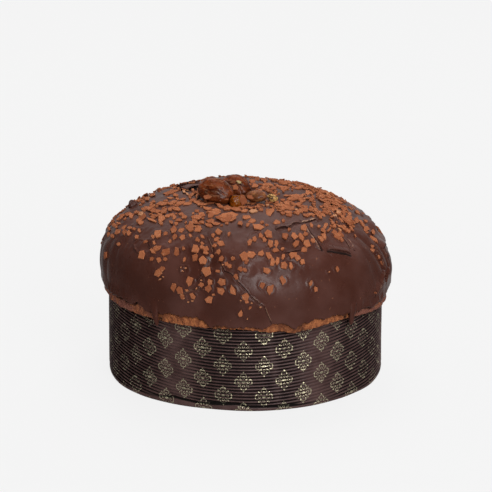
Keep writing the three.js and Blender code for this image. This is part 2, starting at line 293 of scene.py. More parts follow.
def add_bump(tree, shader, height, distance):
    """Lets a height in the range 0 to 1 tilt the surface, as if it stood out by a distance in
    millimetres."""
    inputs = {"Height": height, "Distance": distance * MM, "Strength": 1.0}
    tree.links.new(add_node(tree, "Bump", inputs).outputs[0], shader.inputs["Normal"])


def reach_of(tree, along, across):
    """How far a place lies from the middle: the root of the sum of its two squares."""
    squares = [multiply(tree, part, part) for part in (along, across)]
    return calculate(tree, "SQRT", calculate(tree, "ADD", *squares))


def ring_line(tree, along, across, middle, length, width):
    """How far a point lies from an ellipse's outline, as a share of its size: 0 on the line."""
    along = calculate(tree, "DIVIDE", calculate(tree, "SUBTRACT", along, middle), length)
    across = calculate(tree, "DIVIDE", across, width)
    return calculate(tree, "ABSOLUTE", calculate(tree, "SUBTRACT", reach_of(tree, along, across), 1.0))


# Three sets of four petals: the turn of the first, the middle, half length and half width of each, how
# thick its line is as a share of its size, how deep it is notched into a heart, and how far out its line
# starts.
PETAL_SETS = [
    (0.0, 3.9, 2.2, 2.1, 0.06, 0.7, 2.9), (np.pi / 4, 4.4, 1.5, 0.45, 0.2, 0.0, 0.0),
    (0.0, 3.3, 1.0, 0.8, 0.1, 0.3, 1.8),
]


def petals(tree, reach, angle, turned, middle, length, width, line, notch, start):
    """Four outlined petals a quarter turn apart, each an ellipse along its own ray from the rosette's
    centre, or a heart where it is notched: its length is shifted outwards by the root of the distance from
    the ray. The line is only drawn beyond the start, so that it stays open towards the centre."""
    quarter = calculate(tree, "DIVIDE", calculate(tree, "ADD", angle, turned), np.pi / 2)
    local = calculate(tree, "SUBTRACT", quarter, calculate(tree, "ROUND", quarter))
    local = multiply(tree, local, np.pi / 2)
    along = multiply(tree, reach, calculate(tree, "COSINE", local))
    across = multiply(tree, reach, calculate(tree, "SINE", local))
    shift = calculate(tree, "SQRT", calculate(tree, "ABSOLUTE", across))
    along = calculate(tree, "SUBTRACT", along, multiply(tree, shift, notch))
    outline = ring_line(tree, along, across, middle, length, width)
    outline = climb(tree, outline, line, line + 0.12, 1.0, 0.0)
    return multiply(tree, outline, climb(tree, along, start, start + 0.7))


def rosette(tree, along, up):
    """How much ink is at a place of the print: columns of rosettes, each second one half a step lower, with
    petals round a small lens, and a tiny lozenge above and below each."""
    pitch_along = PRINT_WIDTH / ROSETTE_COLUMNS
    column = calculate(tree, "ROUND", calculate(tree, "DIVIDE", along, pitch_along))
    across = calculate(tree, "SUBTRACT", along, multiply(tree, column, pitch_along))
    odd = calculate(tree, "FLOORED_MODULO", column, 2.0)
    lifted = calculate(tree, "SUBTRACT", up, ROSETTE_START)
    lifted = calculate(tree, "ADD", lifted, multiply(tree, odd, ROSETTE_RISE / 2))
    row = calculate(tree, "ROUND", calculate(tree, "DIVIDE", lifted, ROSETTE_RISE))
    rise = calculate(tree, "SUBTRACT", lifted, multiply(tree, row, ROSETTE_RISE))
    reach = reach_of(tree, across, rise)
    angle = calculate(tree, "ARCTAN2", rise, across)
    lens = calculate(tree, "ADD", reach, calculate(tree, "ABSOLUTE", rise))
    ink = climb(tree, lens, 1.5, 2.0, 1.0, 0.0)
    for petal_set in PETAL_SETS:
        ink = calculate(tree, "MAXIMUM", ink, petals(tree, reach, angle, *petal_set))
    tips = calculate(tree, "SUBTRACT", calculate(tree, "ABSOLUTE", rise), TIP_DISTANCE)
    tips = calculate(tree, "ADD", calculate(tree, "ABSOLUTE", tips), calculate(tree, "ABSOLUTE", across))
    return calculate(tree, "MAXIMUM", ink, climb(tree, tips, 0.5, 0.8, 1.0, 0.0))


def paper_finish():
    """Brown paper: painted darker in its grooves and crease as shade, with rosettes in pale gold that is
    worn in the grooves and in small specks, and dimmed at the two sides as painted shade."""
    material, tree, shader = new_finish("ribbed_brown_paper", 0.5, 0.25)
    print_place = add_node(tree, "SeparateXYZ", {0: add_node(tree, "UVMap", {}, uv_map="print").outputs[0]})
    along, up = print_place.outputs[0], print_place.outputs[1]
    groove = kept_value(tree, "groove")
    ink = multiply(tree, rosette(tree, along, up), climb(tree, groove, 0.3, 0.85, 1.0, 0.12))
    ink = multiply(tree, ink, climb(tree, noise(tree, 500), 0.38, 0.55, 0.4, 1.0))
    # The ink is dimmed towards the two sides as painted shade.
    sideways = calculate(tree, "SINE", calculate(tree, "DIVIDE", along, CASE_RADIUS))
    sideways = calculate(tree, "ABSOLUTE", sideways)
    ink = multiply(tree, ink, climb(tree, sideways, 0.5, 0.95, 1.0, 0.4))
    paper = mix_colours(tree, climb(tree, noise(tree, 90), 0.3, 0.7), seen(66, 45, 43), seen(84, 62, 59))
    # Painted shade: darker in the grooves and the crease.
    paper = mix_colours(tree, climb(tree, groove, 0.08, 0.62), paper, seen(12, 6, 5))
    tree.links.new(mix_colours(tree, ink, paper, seen(226, 217, 182)), shader.inputs["Base Color"])
    tree.links.new(multiply(tree, ink, 0.9), shader.inputs["Metallic"])
    rough = climb(tree, groove, 0.1, 0.6, 0.42, 0.95)
    rough = calculate(tree, "SUBTRACT", rough, multiply(tree, ink, 0.06))
    tree.links.new(rough, shader.inputs["Roughness"])
    add_bump(tree, shader, noise(tree, 2500, 4), 0.05)
    return material


paper_case = make_piece(
    "ribbed_paper_case", case_points, case_faces, paper_finish(), "case_paper", "paper_case",
)


def keep_values(piece, name, values):
    """Keeps one number for each vertex of a piece, for its material to read."""
    attribute = piece.data.attributes.new(name, "FLOAT", "POINT")
    attribute.data.foreach_set("value", np.asarray(values, np.float32).ravel())


keep_values(paper_case, "groove", grooves)

# The print's own map, in millimetres along and up the wall. It slid a little at the sides as the case was
# formed.
print_map = paper_case.data.uv_layers.new(name="print")
step = np.tile(np.arange(CASE_COLUMNS), len(rings) - 1)
corner_step = np.stack([step, step, step + 1, step + 1], axis=-1).reshape(-1)
corner_height = case_points[case_faces[0].reshape(-1), 2]
turned = corner_step * 360 / CASE_COLUMNS
turned_sine = np.sin(np.radians(turned))
slid = 1.2 + 0.8 * turned_sine + 1.4 * turned_sine ** 2
skewed = turned_sine * (0.8 + 2.4 * (1 - corner_height / CASE_HEIGHT))
print_along = np.radians(turned) * CASE_RADIUS + slid
quads_print = np.stack([print_along, rib_height(turned, corner_height) + skewed], axis=-1)
spare = np.zeros((len(paper_case.data.loops) - len(quads_print), 2))
print_map.data.foreach_set("uv", np.concatenate([quads_print, spare]).ravel())

# The loaf. A sweet risen dough, baked in the case until its crown swelled over the rim. All that shows of
# it is a torn, crumbly orange-brown band of crust between the ragged chocolate and the paper.
CROWN_RADIUS = 112.2
SHOULDER_HEIGHT = 79.9
CROWN_HEIGHT = 138.2
SIDE_FULLNESS = 2.45
TOP_FULLNESS = 2.83
LIP_RADIUS = 109.4
LIP_PLACE_HEIGHT = 56.0
LIP_FULLNESS = 3.0
CROWN_SHIFT = 0.7
CROWN_LEAN = -6.6
CRATER_RADIUS = 34.0
CRATER_DEPTH = 2.5
GLAZE = 2.2
LOAF_COLUMNS = 1400
CRUST_TOP = 84.0
CRUST_ROW = 0.55
CRUST_DEPTH = GLAZE + 1.0
LOAF_BOTTOM = 1.8

# Where the crust meets the paper, read off at the front and guessed round the back: azimuth and height.
LIP_LINE = [
    (-180, 59), (-150, 62), (-120, 63), (-100, 66), (-82, 67), (-66, 66.8), (-47, 67.8), (-29, 68.6),
    (-21, 68.6), (-12, 68.2), (0, 68), (10, 65.7), (15, 65.6), (20, 62.8), (24, 64.4), (35, 66.6),
    (42, 66.5), (55, 63.8), (63, 61.6), (76, 58.9), (95, 57.5), (120, 60), (150, 61), (180, 59),
]


def crown_section(place):
    """Radius and height on the crown's half section: place runs from -1 at the lip, through 0 at the widest
    ring, to 1 at the apex, along a quarter of one superellipse below the ring and of another above it."""
    turn = np.abs(place) * np.pi / 2
    cosine, sine = np.maximum(np.cos(turn), 0), np.sin(turn)
    under = LIP_RADIUS + (CROWN_RADIUS - LIP_RADIUS) * cosine ** (2 / LIP_FULLNESS)
    over = CROWN_RADIUS * cosine ** (2 / SIDE_FULLNESS)
    down = SHOULDER_HEIGHT - (SHOULDER_HEIGHT - LIP_PLACE_HEIGHT) * sine ** (2 / LIP_FULLNESS)
    up = SHOULDER_HEIGHT + (CROWN_HEIGHT - SHOULDER_HEIGHT) * sine ** (2 / TOP_FULLNESS)
    return np.where(place < 0, under, over), np.where(place < 0, down, up)


def place_at_height(height):
    """The place at which the plain section has a given height: its superellipses solved for the turn."""
    down = (SHOULDER_HEIGHT - height) / (SHOULDER_HEIGHT - LIP_PLACE_HEIGHT)
    up = (height - SHOULDER_HEIGHT) / (CROWN_HEIGHT - SHOULDER_HEIGHT)
    down = np.clip(down, 0, 1) ** (LIP_FULLNESS / 2)
    up = np.clip(up, 0, 1) ** (TOP_FULLNESS / 2)
    return 2 / np.pi * (np.arcsin(up) - np.arcsin(down))


def swell(azimuth, place):
    """Broad lobes of the dough at the front and back: a sum of three sines round the crown, times a cosine
    that fades them at the sides and a squared sine that fades them at the lip and the apex."""
    turn = np.radians(azimuth)
    fade = np.cos(turn) * np.sin(np.pi * np.clip(place * 0.5 + 0.5, 0, 1)) ** 2
    broad = 0.9 * np.sin(3 * turn + 0.8) + 0.8 * np.sin(5 * turn - 1.1 + 3 * place)
    return fade * (broad + 0.6 * np.sin(8 * turn + 5 * place))


def crown(azimuth, place, lift):
    """Points of the crown, lifted from the plain section along its normal, with the broad lobes, the crater
    round the apex and the crown's lean."""
    step = 0.004
    radius, height = crown_section(place)
    low_radius, low_height = crown_section(np.maximum(place - step, -1))
    high_radius, high_height = crown_section(np.minimum(place + step, 1))
    length = np.hypot(high_radius - low_radius, high_height - low_height)
    raised = lift + swell(azimuth, place)
    radius = np.maximum(0, radius + (high_height - low_height) / length * raised)
    height = height + (low_radius - high_radius) / length * raised
    height = height - CRATER_DEPTH * (1 - smoothstep(radius, 0, CRATER_RADIUS))
    rise = np.clip((height - SHOULDER_HEIGHT) / (CROWN_HEIGHT - SHOULDER_HEIGHT), 0, 1)
    points = around(azimuth, radius, height)
    points[..., 0] += smoothstep(height, CASE_HEIGHT, SHOULDER_HEIGHT) * CROWN_SHIFT + rise * CROWN_LEAN
    return points


def wavy_line(azimuth, line, seed, ragged):
    """Height of a line that was read off at some azimuths: straight between them, with a wander added to
    it, which is smooth noise of three sizes."""
    known, heights = np.array(line, float).T
    smooth = np.interp(from_front(azimuth), known, heights)
    place = around(azimuth, CROWN_RADIUS, 0.0)
    wander = waves(place, 9, seed) + 0.6 * waves(place, 3.5, seed + 1) + 0.45 * waves(place, 1.6, seed + 2)
    return smooth + ragged * wander


# The chocolate's lower edge, read off at the front and guessed round the back: azimuth and height.
EDGE_LINE = [
    (-180, 74), (-160, 77), (-135, 72.5), (-110, 76.5), (-90, 76), (-78, 77), (-68, 76.2), (-57, 77),
    (-52, 75.4), (-47, 78.6), (-43, 75.5), (-37, 75.2), (-32, 76.4), (-24, 76.2), (-19, 77.6), (-17, 76.5),
    (-15, 72.5), (-13, 69.6), (-11, 71.6), (-6, 70.8), (0, 71.2), (6, 69.6), (9.5, 71.2), (11.5, 73.6),
    (14.5, 74.2), (17, 71.4), (19.3, 66.6), (21, 70.6), (23, 72.8), (27, 74.2), (31, 73.6), (36, 73.4),
    (41, 71.8), (47, 70.2), (54, 70.9), (60, 68.8), (68, 68.6), (80, 70), (105, 67.5), (130, 71.5),
    (155, 70), (180, 74),
]


def edge_height_at(azimuth):
    """Height of the chocolate's lower edge: its line with a wander of one millimetre."""
    return wavy_line(azimuth, EDGE_LINE, 21, 1.0)


def overhang(azimuth):
    """Where the chocolate's edge is a thick overhanging roll, from 0 to 1: a bell at the left of the front
    and a lower one at the right."""
    turned = from_front(azimuth)
    return bell(turned, -58, 17) + 0.7 * bell(turned, 62, 12)


def tuck(azimuth, height):
    """How the dough was drawn in above the rim at the left of the front: a bell, which fades upwards."""
    return -1.5 * bell(from_front(azimuth), -78, 14) * smoothstep(height, 79, 69)


def crust_lift(azimuth, height):
    """How far the crust stands from the crown's skin: sunk under the chocolate, and below its edge torn and
    lumpy, as smooth noise with sharp creases, some of it along slanting fibres."""
    place = around(azimuth, CROWN_RADIUS, height)
    slanted = around(azimuth + 0.45 * height, CROWN_RADIUS, 0.3 * height)
    under = edge_height_at(azimuth) - height
    bare = smoothstep(under - 1.2 * overhang(azimuth), -0.6, 2.8)
    torn = 0.35 * waves(place, 12, 31) + 0.4 * waves(slanted, 3.0, 32)
    torn = torn + 0.5 * np.abs(waves(place, 2.4, 33)) - 0.35
    return -GLAZE - 1.1 + bare * (1.4 + 0.9 * torn) + tuck(azimuth, height)


azimuths = np.arange(LOAF_COLUMNS) * 360 / LOAF_COLUMNS
lip = np.minimum(wavy_line(azimuths, LIP_LINE, 34, 0.35), CASE_HEIGHT + 0.6)
rings = [crown(azimuths, np.full(LOAF_COLUMNS, place), -CRUST_DEPTH)
         for place in np.linspace(0.97, 0.16, 9)]
band_rows = int((CRUST_TOP - LIP_PLACE_HEIGHT) / CRUST_ROW)
for share in np.linspace(0, 1, band_rows):
    height = CRUST_TOP + (lip - CRUST_TOP) * share
    rings.append(crown(azimuths, place_at_height(height), crust_lift(azimuths, height)))
hem = rings[-1]
hem_radius = np.hypot(hem[:, 0], hem[:, 1])
rings.append(around(azimuths, np.maximum(hem_radius - 0.7, CASE_RADIUS + 0.2), lip - 0.35))
rings.append(around(azimuths, CASE_RADIUS + 0.2, lip + 0.2))
rings.append(around(azimuths, CASE_RADIUS + 0.2, CASE_HEIGHT + 0.7))
rings += [around(azimuths, INNER_RADIUS - 0.5, height) for height in (CASE_HEIGHT + 0.7, 40)]
rings += [around(azimuths, INNER_RADIUS - 7, height) for height in (10, 4)]
rings += [around(azimuths, radius, LOAF_BOTTOM) for radius in (INNER_RADIUS - 9, 60)]
apex = crown(np.zeros(1), np.ones(1), -CRUST_DEPTH)
loaf_points = np.concatenate([*rings, apex, [[0, 0, LOAF_BOTTOM]]])


def crust_finish():
    """Baked crumb: orange-brown with paler streaks and darker in the pits of its bump as painted shade,
    with painted shadow under the chocolate's edge and beside the drips and a few dark stains, and filmed
    over with chocolate at the two sides."""
    material, tree, shader = new_finish("torn_crust", 0.85, 0.15)
    fibres = noise(tree, 300, 5, 0.65, (1, 1, 0.7))
    crumbs = noise(tree, 900, 5, 0.65)
    colour = mix_colours(tree, climb(tree, fibres, 0.4, 0.62), seen(116, 66, 42), seen(160, 98, 60))
    # Painted shade: darker in the pits of the bump.
    colour = mix_colours(tree, climb(tree, crumbs, 0.34, 0.43, 1.0, 0.0), colour, seen(94, 52, 34))
    filmed = climb(tree, noise(tree, 130), 0.36, 0.5, 0.35, 1.0)
    filmed = multiply(tree, kept_value(tree, "filmed"), filmed)
    colour = mix_colours(tree, filmed, colour, seen(116, 72, 60))
    # Painted shadow under the chocolate's edge, and a few dark patches of shadow and stain.
    shadow_and_stain = climb(tree, noise(tree, 300), 0.3, 0.5, 0.4, 1.0)
    shadow_and_stain = multiply(tree, kept_value(tree, "shadow_and_stain"), shadow_and_stain)
    colour = mix_colours(tree, shadow_and_stain, colour, seen(60, 33, 23))
    # Painted shadow beside the drips.
    colour = mix_colours(tree, kept_value(tree, "beside_drips"), colour, seen(18, 8, 5))
    tree.links.new(colour, shader.inputs["Base Color"])
    add_bump(tree, shader, crumbs, 0.5)
    return material


# Dark patches on the crust, by azimuth, width and how dark, which all end at one height under the
# chocolate: the first is painted shadow from the chocolate above it, the other two are dark stains of
# chocolate. Then the azimuths at the left and at the right from which a film of chocolate covers the crust.
DARK_PATCH_TOP = 90
DARK_CRUST_PATCHES = [(16, 5, 0.4), (-11.5, 2.2, 0.85), (22, 1.8, 0.85)]
FILM_LEFT = -38
FILM_RIGHT = 48

loaf_faces = shell_faces(len(rings), LOAF_COLUMNS)
loaf = make_piece("baked_loaf", loaf_points, loaf_faces, crust_finish(), "crust", "loaf")
loaf_azimuth = np.degrees(np.arctan2(loaf_points[:, 0], -loaf_points[:, 1]))
under_edge = edge_height_at(loaf_azimuth) - loaf_points[:, 2]
# Painted shadow under the chocolate's edge, deeper and wider where it overhangs, and the dark patches.
shade_depth = overhang(loaf_azimuth)
shadow_and_stain = smoothstep(under_edge, 1.5 + 3.6 * shade_depth, 0.3 + 2.8 * shade_depth)
for middle, width, dark in DARK_CRUST_PATCHES:
    shadow_and_stain = np.maximum(shadow_and_stain, dark * bell(loaf_azimuth, middle, width) * (loaf_points[:, 2] < DARK_PATCH_TOP))
keep_values(loaf, "shadow_and_stain", shadow_and_stain)
beyond_film = np.where(loaf_azimuth < 0, FILM_LEFT - loaf_azimuth, loaf_azimuth - FILM_RIGHT)
filmed = smoothstep(beyond_film, 0, 3) * smoothstep(waves(loaf_points, 60, 35), -1.3, -0.5)
keep_values(loaf, "filmed", filmed)

# The chocolate. Melted dark chocolate, poured over the crown and left to set: a satin skin about two
# millimetres thick, which ends in a ragged rolled edge. It hides the crust under it.
TOP_ROW = 2.2
SIDE_ROW = 0.85
FLAT_HEIGHT = 126.0
FRONT_STEP = 0.36
BACK_STEP = 0.8
FRONT_REACH = 72.0
INNER_LIFT = -GLAZE + 0.2
MEAN_EDGE = 72
BEAD_REACH = 2.8


def spaced(low, high, step_at):
    """Values from low to high, set apart by a step that changes along the way."""
    fine = np.linspace(low, high, 4000)
    count = np.concatenate([[0], np.cumsum(np.diff(fine) / step_at((fine[1:] + fine[:-1]) / 2))])
    return np.interp(np.linspace(0, count[-1], int(round(count[-1])) + 1), count, fine)


def facing_net(surface):
    """A net of points over a surface, by azimuth and place, and the pixels where they show. Points that
    face away get pixels far off."""
    azimuth, place = np.meshgrid(np.linspace(-180, 180, 361), np.linspace(-0.8, 0.985, 180), indexing="ij")
    points = surface(azimuth, place, 0.0)
    outward = surface(azimuth, place, 1.0) - points
    pixels = to_pixels(points)
    pixels[((eye / MM - points) * outward).sum(axis=-1) < 0] = 1e6
    return azimuth.ravel(), place.ravel(), pixels.reshape(-1, 2)


def shares_of(step, first, second):
    """How much of two directions in the picture makes up a step in it, by Cramer's rule."""
    area = first[:, 0] * second[:, 1] - first[:, 1] * second[:, 0]
    of_first = (step[:, 0] * second[:, 1] - step[:, 1] * second[:, 0]) / area
    of_second = (first[:, 0] * step[:, 1] - first[:, 1] * step[:, 0]) / area
    return of_first, of_second


def under_pixels(pixels, surface):
    """Azimuth and place where the sight lines through some pixels meet a surface: the nearest point of a
    net, then four steps of Newton's method."""
    pixels = np.array(pixels, float)
    net_azimuth, net_place, net_pixels = facing_net(surface)
    nearest = [np.argmin(((net_pixels - pixel) ** 2).sum(axis=-1)) for pixel in pixels]
    azimuth, place = net_azimuth[nearest], net_place[nearest]
    for _ in range(4):
        here = to_pixels(surface(azimuth, place, 0.0))
        by_azimuth = (to_pixels(surface(azimuth + 0.1, place, 0.0)) - here) / 0.1
        by_place = (to_pixels(surface(azimuth, place + 0.001, 0.0)) - here) / 0.001
        turn, climbed = shares_of(pixels - here, by_azimuth, by_place)
        azimuth = azimuth + turn.clip(-2, 2)
        place = place + climbed.clip(-0.02, 0.02)
    return azimuth, np.clip(place, -0.95, 0.99)


# Where chips fell off or pressed in, and where the skin bulges: pixel, radius and rise in millimetres, and
# how far the rim round it rises.
DENTS = [
    (184.5, 270, 2.4, -0.6, 0.4), (211.6, 263.4, 4.6, -1.4, 0.3), (240, 238.7, 4.0, -0.35, 0.35),
    (159, 279, 2.6, -0.7, 0.2), (268, 272, 10, 0.8, 0.0), (191, 188, 5, -2.2, 0.0), (216, 273, 4, 0.8, 0.0),
    (172, 240, 5, -1.3, 0.2), (200, 243, 5, -1.0, 0.3), (187, 255, 5, -0.9, 0.0), (186, 286, 4, 0.7, 0.0),
    (148, 303, 4, 0.9, 0.0), (258, 240, 6, -0.7, 0.4), (282, 244, 5, -0.9, 0.3), (300, 246, 5, -0.8, 0.0),
    (228, 262, 5, -0.8, 0.2), (166, 247, 4, 0.8, 0.0), (147, 246, 4, -0.7, 0.4), (361, 304, 3.4, 0.8, 0.0),
    (248, 270, 4.5, -0.7, 0.2), (291, 271, 7, 0.8, 0.0),
]
dent_seats = crown(*under_pixels([dent[:2] for dent in DENTS], crown), 0.0)


def skin_relief(azimuth, place):
    """How far the skin stands out from the plain crown: broad swells and lumps of smooth noise, a wide
    hollow at the right and at the left, folds at both sides as a bent sine with its troughs turned up, and
    for each dent a bell in a ring-shaped rim."""
    points = crown(azimuth, place, 0.0)
    height = points[..., 2]
    top = smoothstep(height, 92, 122)
    broad = 0.8 * waves(points, 85, 41) + 0.45 * waves(points, 36, 42)
    lumps = (0.05 + 0.45 * top) * waves(points, 16, 43) + (0.01 + 0.14 * top) * waves(points, 6.5, 44)
    turned = from_front(azimuth)
    sideways = np.abs(turned)
    at_side = smoothstep(sideways, 60, 70) * smoothstep(sideways, 122, 106) * np.where(turned > 0, 1, 0.6)
    at_side = at_side * smoothstep(height, 74, 84) * smoothstep(height, 124, 110)
    sunk = -2.2 * bell(turned, 108, 32) * smoothstep(height, 130, 112)
    sunk = sunk - 1.6 * bell(turned, -118, 26) * smoothstep(height, 136, 126)
    sunk = sunk * smoothstep(height, 84, 96) + tuck(azimuth, height)
    fold_angle = np.radians(turned * 20 + (height - 90) * 2.4) + 1.2 * waves(points, 50, 45)
    folds = 1.3 * np.abs(np.sin(fold_angle)) - 0.8
    dents = 0.0
    for centre, (_, _, radius, rise, rim) in zip(dent_seats, DENTS):
        away = ((points - centre) ** 2).sum(axis=-1) / radius ** 2
        dents = dents + rise * np.exp(-away) + rim * np.exp(-((np.sqrt(away) - 1.5) ** 2) * 7)
    return broad + lumps + sunk + at_side * folds + dents


def skin(azimuth, place, lift=0.0):
    """Points of the chocolate's outer skin, or lifted from it."""
    return crown(azimuth, place, skin_relief(azimuth, place) + lift)


# The columns are close together at the front, and the rows are set apart by their run from the apex, wide
# on the flat top and close down the side.
azimuths = spaced(-180, 180, lambda turn: np.where(np.abs(turn) < FRONT_REACH, FRONT_STEP, BACK_STEP))[:-1]
columns = len(azimuths)
edge = place_at_height(edge_height_at(azimuths))
trial = np.linspace(1, -0.6, 1200)
trial_radius, trial_height = crown_section(trial)
trial_length = np.concatenate([[0], np.cumsum(np.hypot(np.diff(trial_radius), np.diff(trial_height)))])
whole = np.interp(place_at_height(MEAN_EDGE), trial[::-1], trial_length[::-1])


def row_step(run):
    """How far apart the rows are at a run from the apex."""
    return np.where(np.interp(run, trial_length, trial_height) > FLAT_HEIGHT, TOP_ROW, SIDE_ROW)


runs = spaced(0, whole, row_step)[1:] / whole
base_place = np.interp(runs * whole, trial_length, trial)
edge_height = crown_section(edge)[1]
bead = 0.3 + 1.4 * overhang(azimuths)
skin_rows = []
for row_place in base_place:
    place = 1 - (1 - edge) * (1 - row_place) / (1 - base_place[-1])
    over = crown_section(place)[1] - edge_height
    skin_rows.append(skin(azimuths, place, bead * bell(over, 0, BEAD_REACH)))
for turn in np.radians((30, 60, 90, 120, 150)):
    roll = place_at_height(edge_height - (0.9 + 0.4 * bead) * np.sin(turn))
    skin_rows.append(skin(azimuths, roll, bead - (0.95 + bead / 2) * (1 - np.cos(turn))))
for share in (0.0, 0.35, 0.7):
    skin_rows.append(skin(azimuths, edge + (0.9 - edge) * share + 0.01, INNER_LIFT))
outer_apex = skin(np.zeros(1), np.ones(1))
inner_apex = skin(np.zeros(1), np.ones(1), INNER_LIFT)
skin_points = np.concatenate([*skin_rows, outer_apex, inner_apex])


def dark_chocolate():
    """Set dark chocolate: a deep brown with a satin skin and faint clouding, a few specks of crumb, a
    painted grey sheen in patches on the top, which is also rougher there, painted shade that makes it near
    black and dull in its cracks and hollow, and pale on the crests of its broken edges, which on the two
    folds at the right is a painted highlight."""
    material, tree, shader = new_finish("dark_chocolate", 0.36, 0.22)
    cloud = noise(tree, 26, 3)
    colour = mix_colours(tree, climb(tree, cloud, 0.35, 0.65), seen(66, 35, 27), seen(80, 49, 42))
    place = add_node(tree, "SeparateXYZ", {0: add_node(tree, "TexCoord", {}).outputs["Object"]})
    # A painted grey sheen in patches on the very top, which is also made rougher.
    painted_top_sheen = climb(tree, place.outputs[2], 0.122, 0.136, 0.0, 0.28)
    painted_top_sheen = multiply(tree, painted_top_sheen, climb(tree, noise(tree, 90), 0.3, 0.6))
    colour = mix_colours(tree, painted_top_sheen, colour, seen(92, 74, 69))
    specks = climb(tree, noise(tree, 420, 1, 0.3), 0.76, 0.8)
    colour = mix_colours(tree, specks, colour, seen(112, 70, 52))
    # Pale on the crests of the broken edges; on the two folds at the right this is a painted highlight.
    broken = multiply(tree, kept_value(tree, "pale"), climb(tree, noise(tree, 220), 0.42, 0.55))
    colour = mix_colours(tree, broken, colour, seen(158, 120, 98))
    # Painted shade: near black and duller in the cracks and the hollow.
    crevice = kept_value(tree, "crevice")
    colour = mix_colours(tree, climb(tree, crevice, 0.3, 0.9, 0.0, 0.9), colour, seen(16, 7, 5))
    tree.links.new(colour, shader.inputs["Base Color"])
    rough = climb(tree, noise(tree, 60, 4), 0.3, 0.7, 0.26, 0.38)
    beside = calculate(tree, "ABSOLUTE", place.outputs[0])
    rough = calculate(tree, "SUBTRACT", rough, climb(tree, beside, 0.09, 0.106, 0.0, 0.08))
    for dull in (painted_top_sheen, crevice):
        rough = calculate(tree, "ADD", rough, multiply(tree, dull, 0.5))
    tree.links.new(rough, shader.inputs["Roughness"])
    add_bump(tree, shader, noise(tree, 380, 3), 0.12)
    return material


chocolate = dark_chocolate()
skin_faces = shell_faces(len(skin_rows), columns)
chocolate_skin = make_piece(
    "chocolate_skin", skin_points, skin_faces, chocolate, "dark_chocolate", "chocolate_glaze",
)


def unit(vectors):
    """Vectors of length 1 in the same directions."""
    return vectors / np.linalg.norm(vectors, axis=-1, keepdims=True)


def seat(azimuth, place, lift=0.0):
    """Points on the skin, the directions along it, up it and out of it, and the run in millimetres of a
    degree and of a place."""
    point = skin(azimuth, place, lift)
    along = (skin(azimuth + 0.3, place) - skin(azimuth - 0.3, place)) / 0.6
    upward = (skin(azimuth, place + 0.003) - skin(azimuth, place - 0.003)) / 0.006
    per_degree, per_place = np.linalg.norm(along, axis=-1), np.linalg.norm(upward, axis=-1)
    out = unit(np.cross(along, upward))
    along = unit(along)
    return point, along, np.cross(out, along), out, per_degree, per_place


# The broken edges. Where the set chocolate cracked, and where one sheet of it slid over another, its edges
# stand up from the skin, of the same chocolate. Each is a low ramp that ends in an undercut lip, carried
# along the crack, and two lips face each other across a gap.

# A crack is given by its pixels, the gap, the heights of the lip at its left and its right, how far their
# ramps reach, and how pale their crests are: pale where they broke, and on the two folds at the right a
# painted highlight. The plates at the sides and back are given the same way, but by azimuth and place.
CRACKS = [
    ([(218, 259), (222.5, 266), (224.5, 271.5), (231, 273.5), (236.5, 280), (243, 286.5), (252, 297.5)],
     0.5, 0.5, 0.15, 2.6, 0.2),
    ([(250, 295.5), (252, 297.5), (259, 302.8), (264.5, 306.8), (267, 313), (269.6, 320), (271.6, 324)],
     0.45, 0.6, 0.15, 2.6, 0.5),
    ([(196.8, 280.7), (199, 277.5), (202.3, 274.3)], 0.4, 0.4, 0.3, 2, 0),
    ([(138.5, 254), (134.5, 249.6), (133, 244.2), (139, 238.8), (147.5, 240.2), (150, 248.5)],
     0.3, 0.05, 0.6, 3, 0.1),
    ([(276, 229.5), (283.9, 227.8), (289, 228.5), (294.1, 224.4), (301.2, 223.4)], 1.0, 1.6, 0.1, 7, 0.2),
    ([(301.2, 223.4), (307.3, 222.7), (317, 219.4)], 0.9, 1.0, 0.1, 7, 1.0),
    ([(305.5, 224), (307.3, 228.3), (311.4, 234.4), (316.5, 241.5), (321.6, 250.2)], 1.6, 0.2, 1.2, 5, 0.9),
    ([(328, 250.8), (336.9, 252.2), (346.1, 253.6), (351, 255.6)], 2.8, 1.3, 0.1, 7, 0.0),
    ([(347.6, 238.5), (352.2, 244.6), (354.5, 250.5)], 0.4, 0.1, 0.9, 3, 0.8),
    ([(342, 237), (346, 242), (350, 248)], 0.4, 0.5, 0.1, 3, 0.4),
    ([(284.9, 253.6), (293.1, 252), (301, 250.4)], 0.6, 1.0, 0.2, 4, 0.1),
    ([(328.8, 208.9), (338, 220), (348, 230)], 0.6, 0.2, 1.3, 5, 0.1),
    ([(207.7, 233.8), (212.1, 244.7), (213.6, 254.5)], 0.3, 0.05, 0.5, 2.5, 0.4),
    ([(247, 239), (251, 233), (257, 231)], 0.3, 0.1, 0.5, 3, 0.3),
    ([(182, 296), (187, 291.5), (194, 289), (200, 290)], 0.3, 0.3, 0.3, 2, 0.3),
    # The two folds at the right, whose pale crests are a painted highlight.
    ([(372, 246), (379.5, 255), (384, 270), (381, 285), (375, 297)], 0.8, 0.1, 1.8, 4, 0.35),
    ([(376.5, 240), (384, 252), (388.5, 268), (386, 284)], 0.6, 0.1, 1.4, 4, 0.2),
    ([(180, 186.6), (186, 184.6), (192, 183.2), (197.5, 183.2)], 1.8, 1.5, 0.0, 7, 0.1),
]
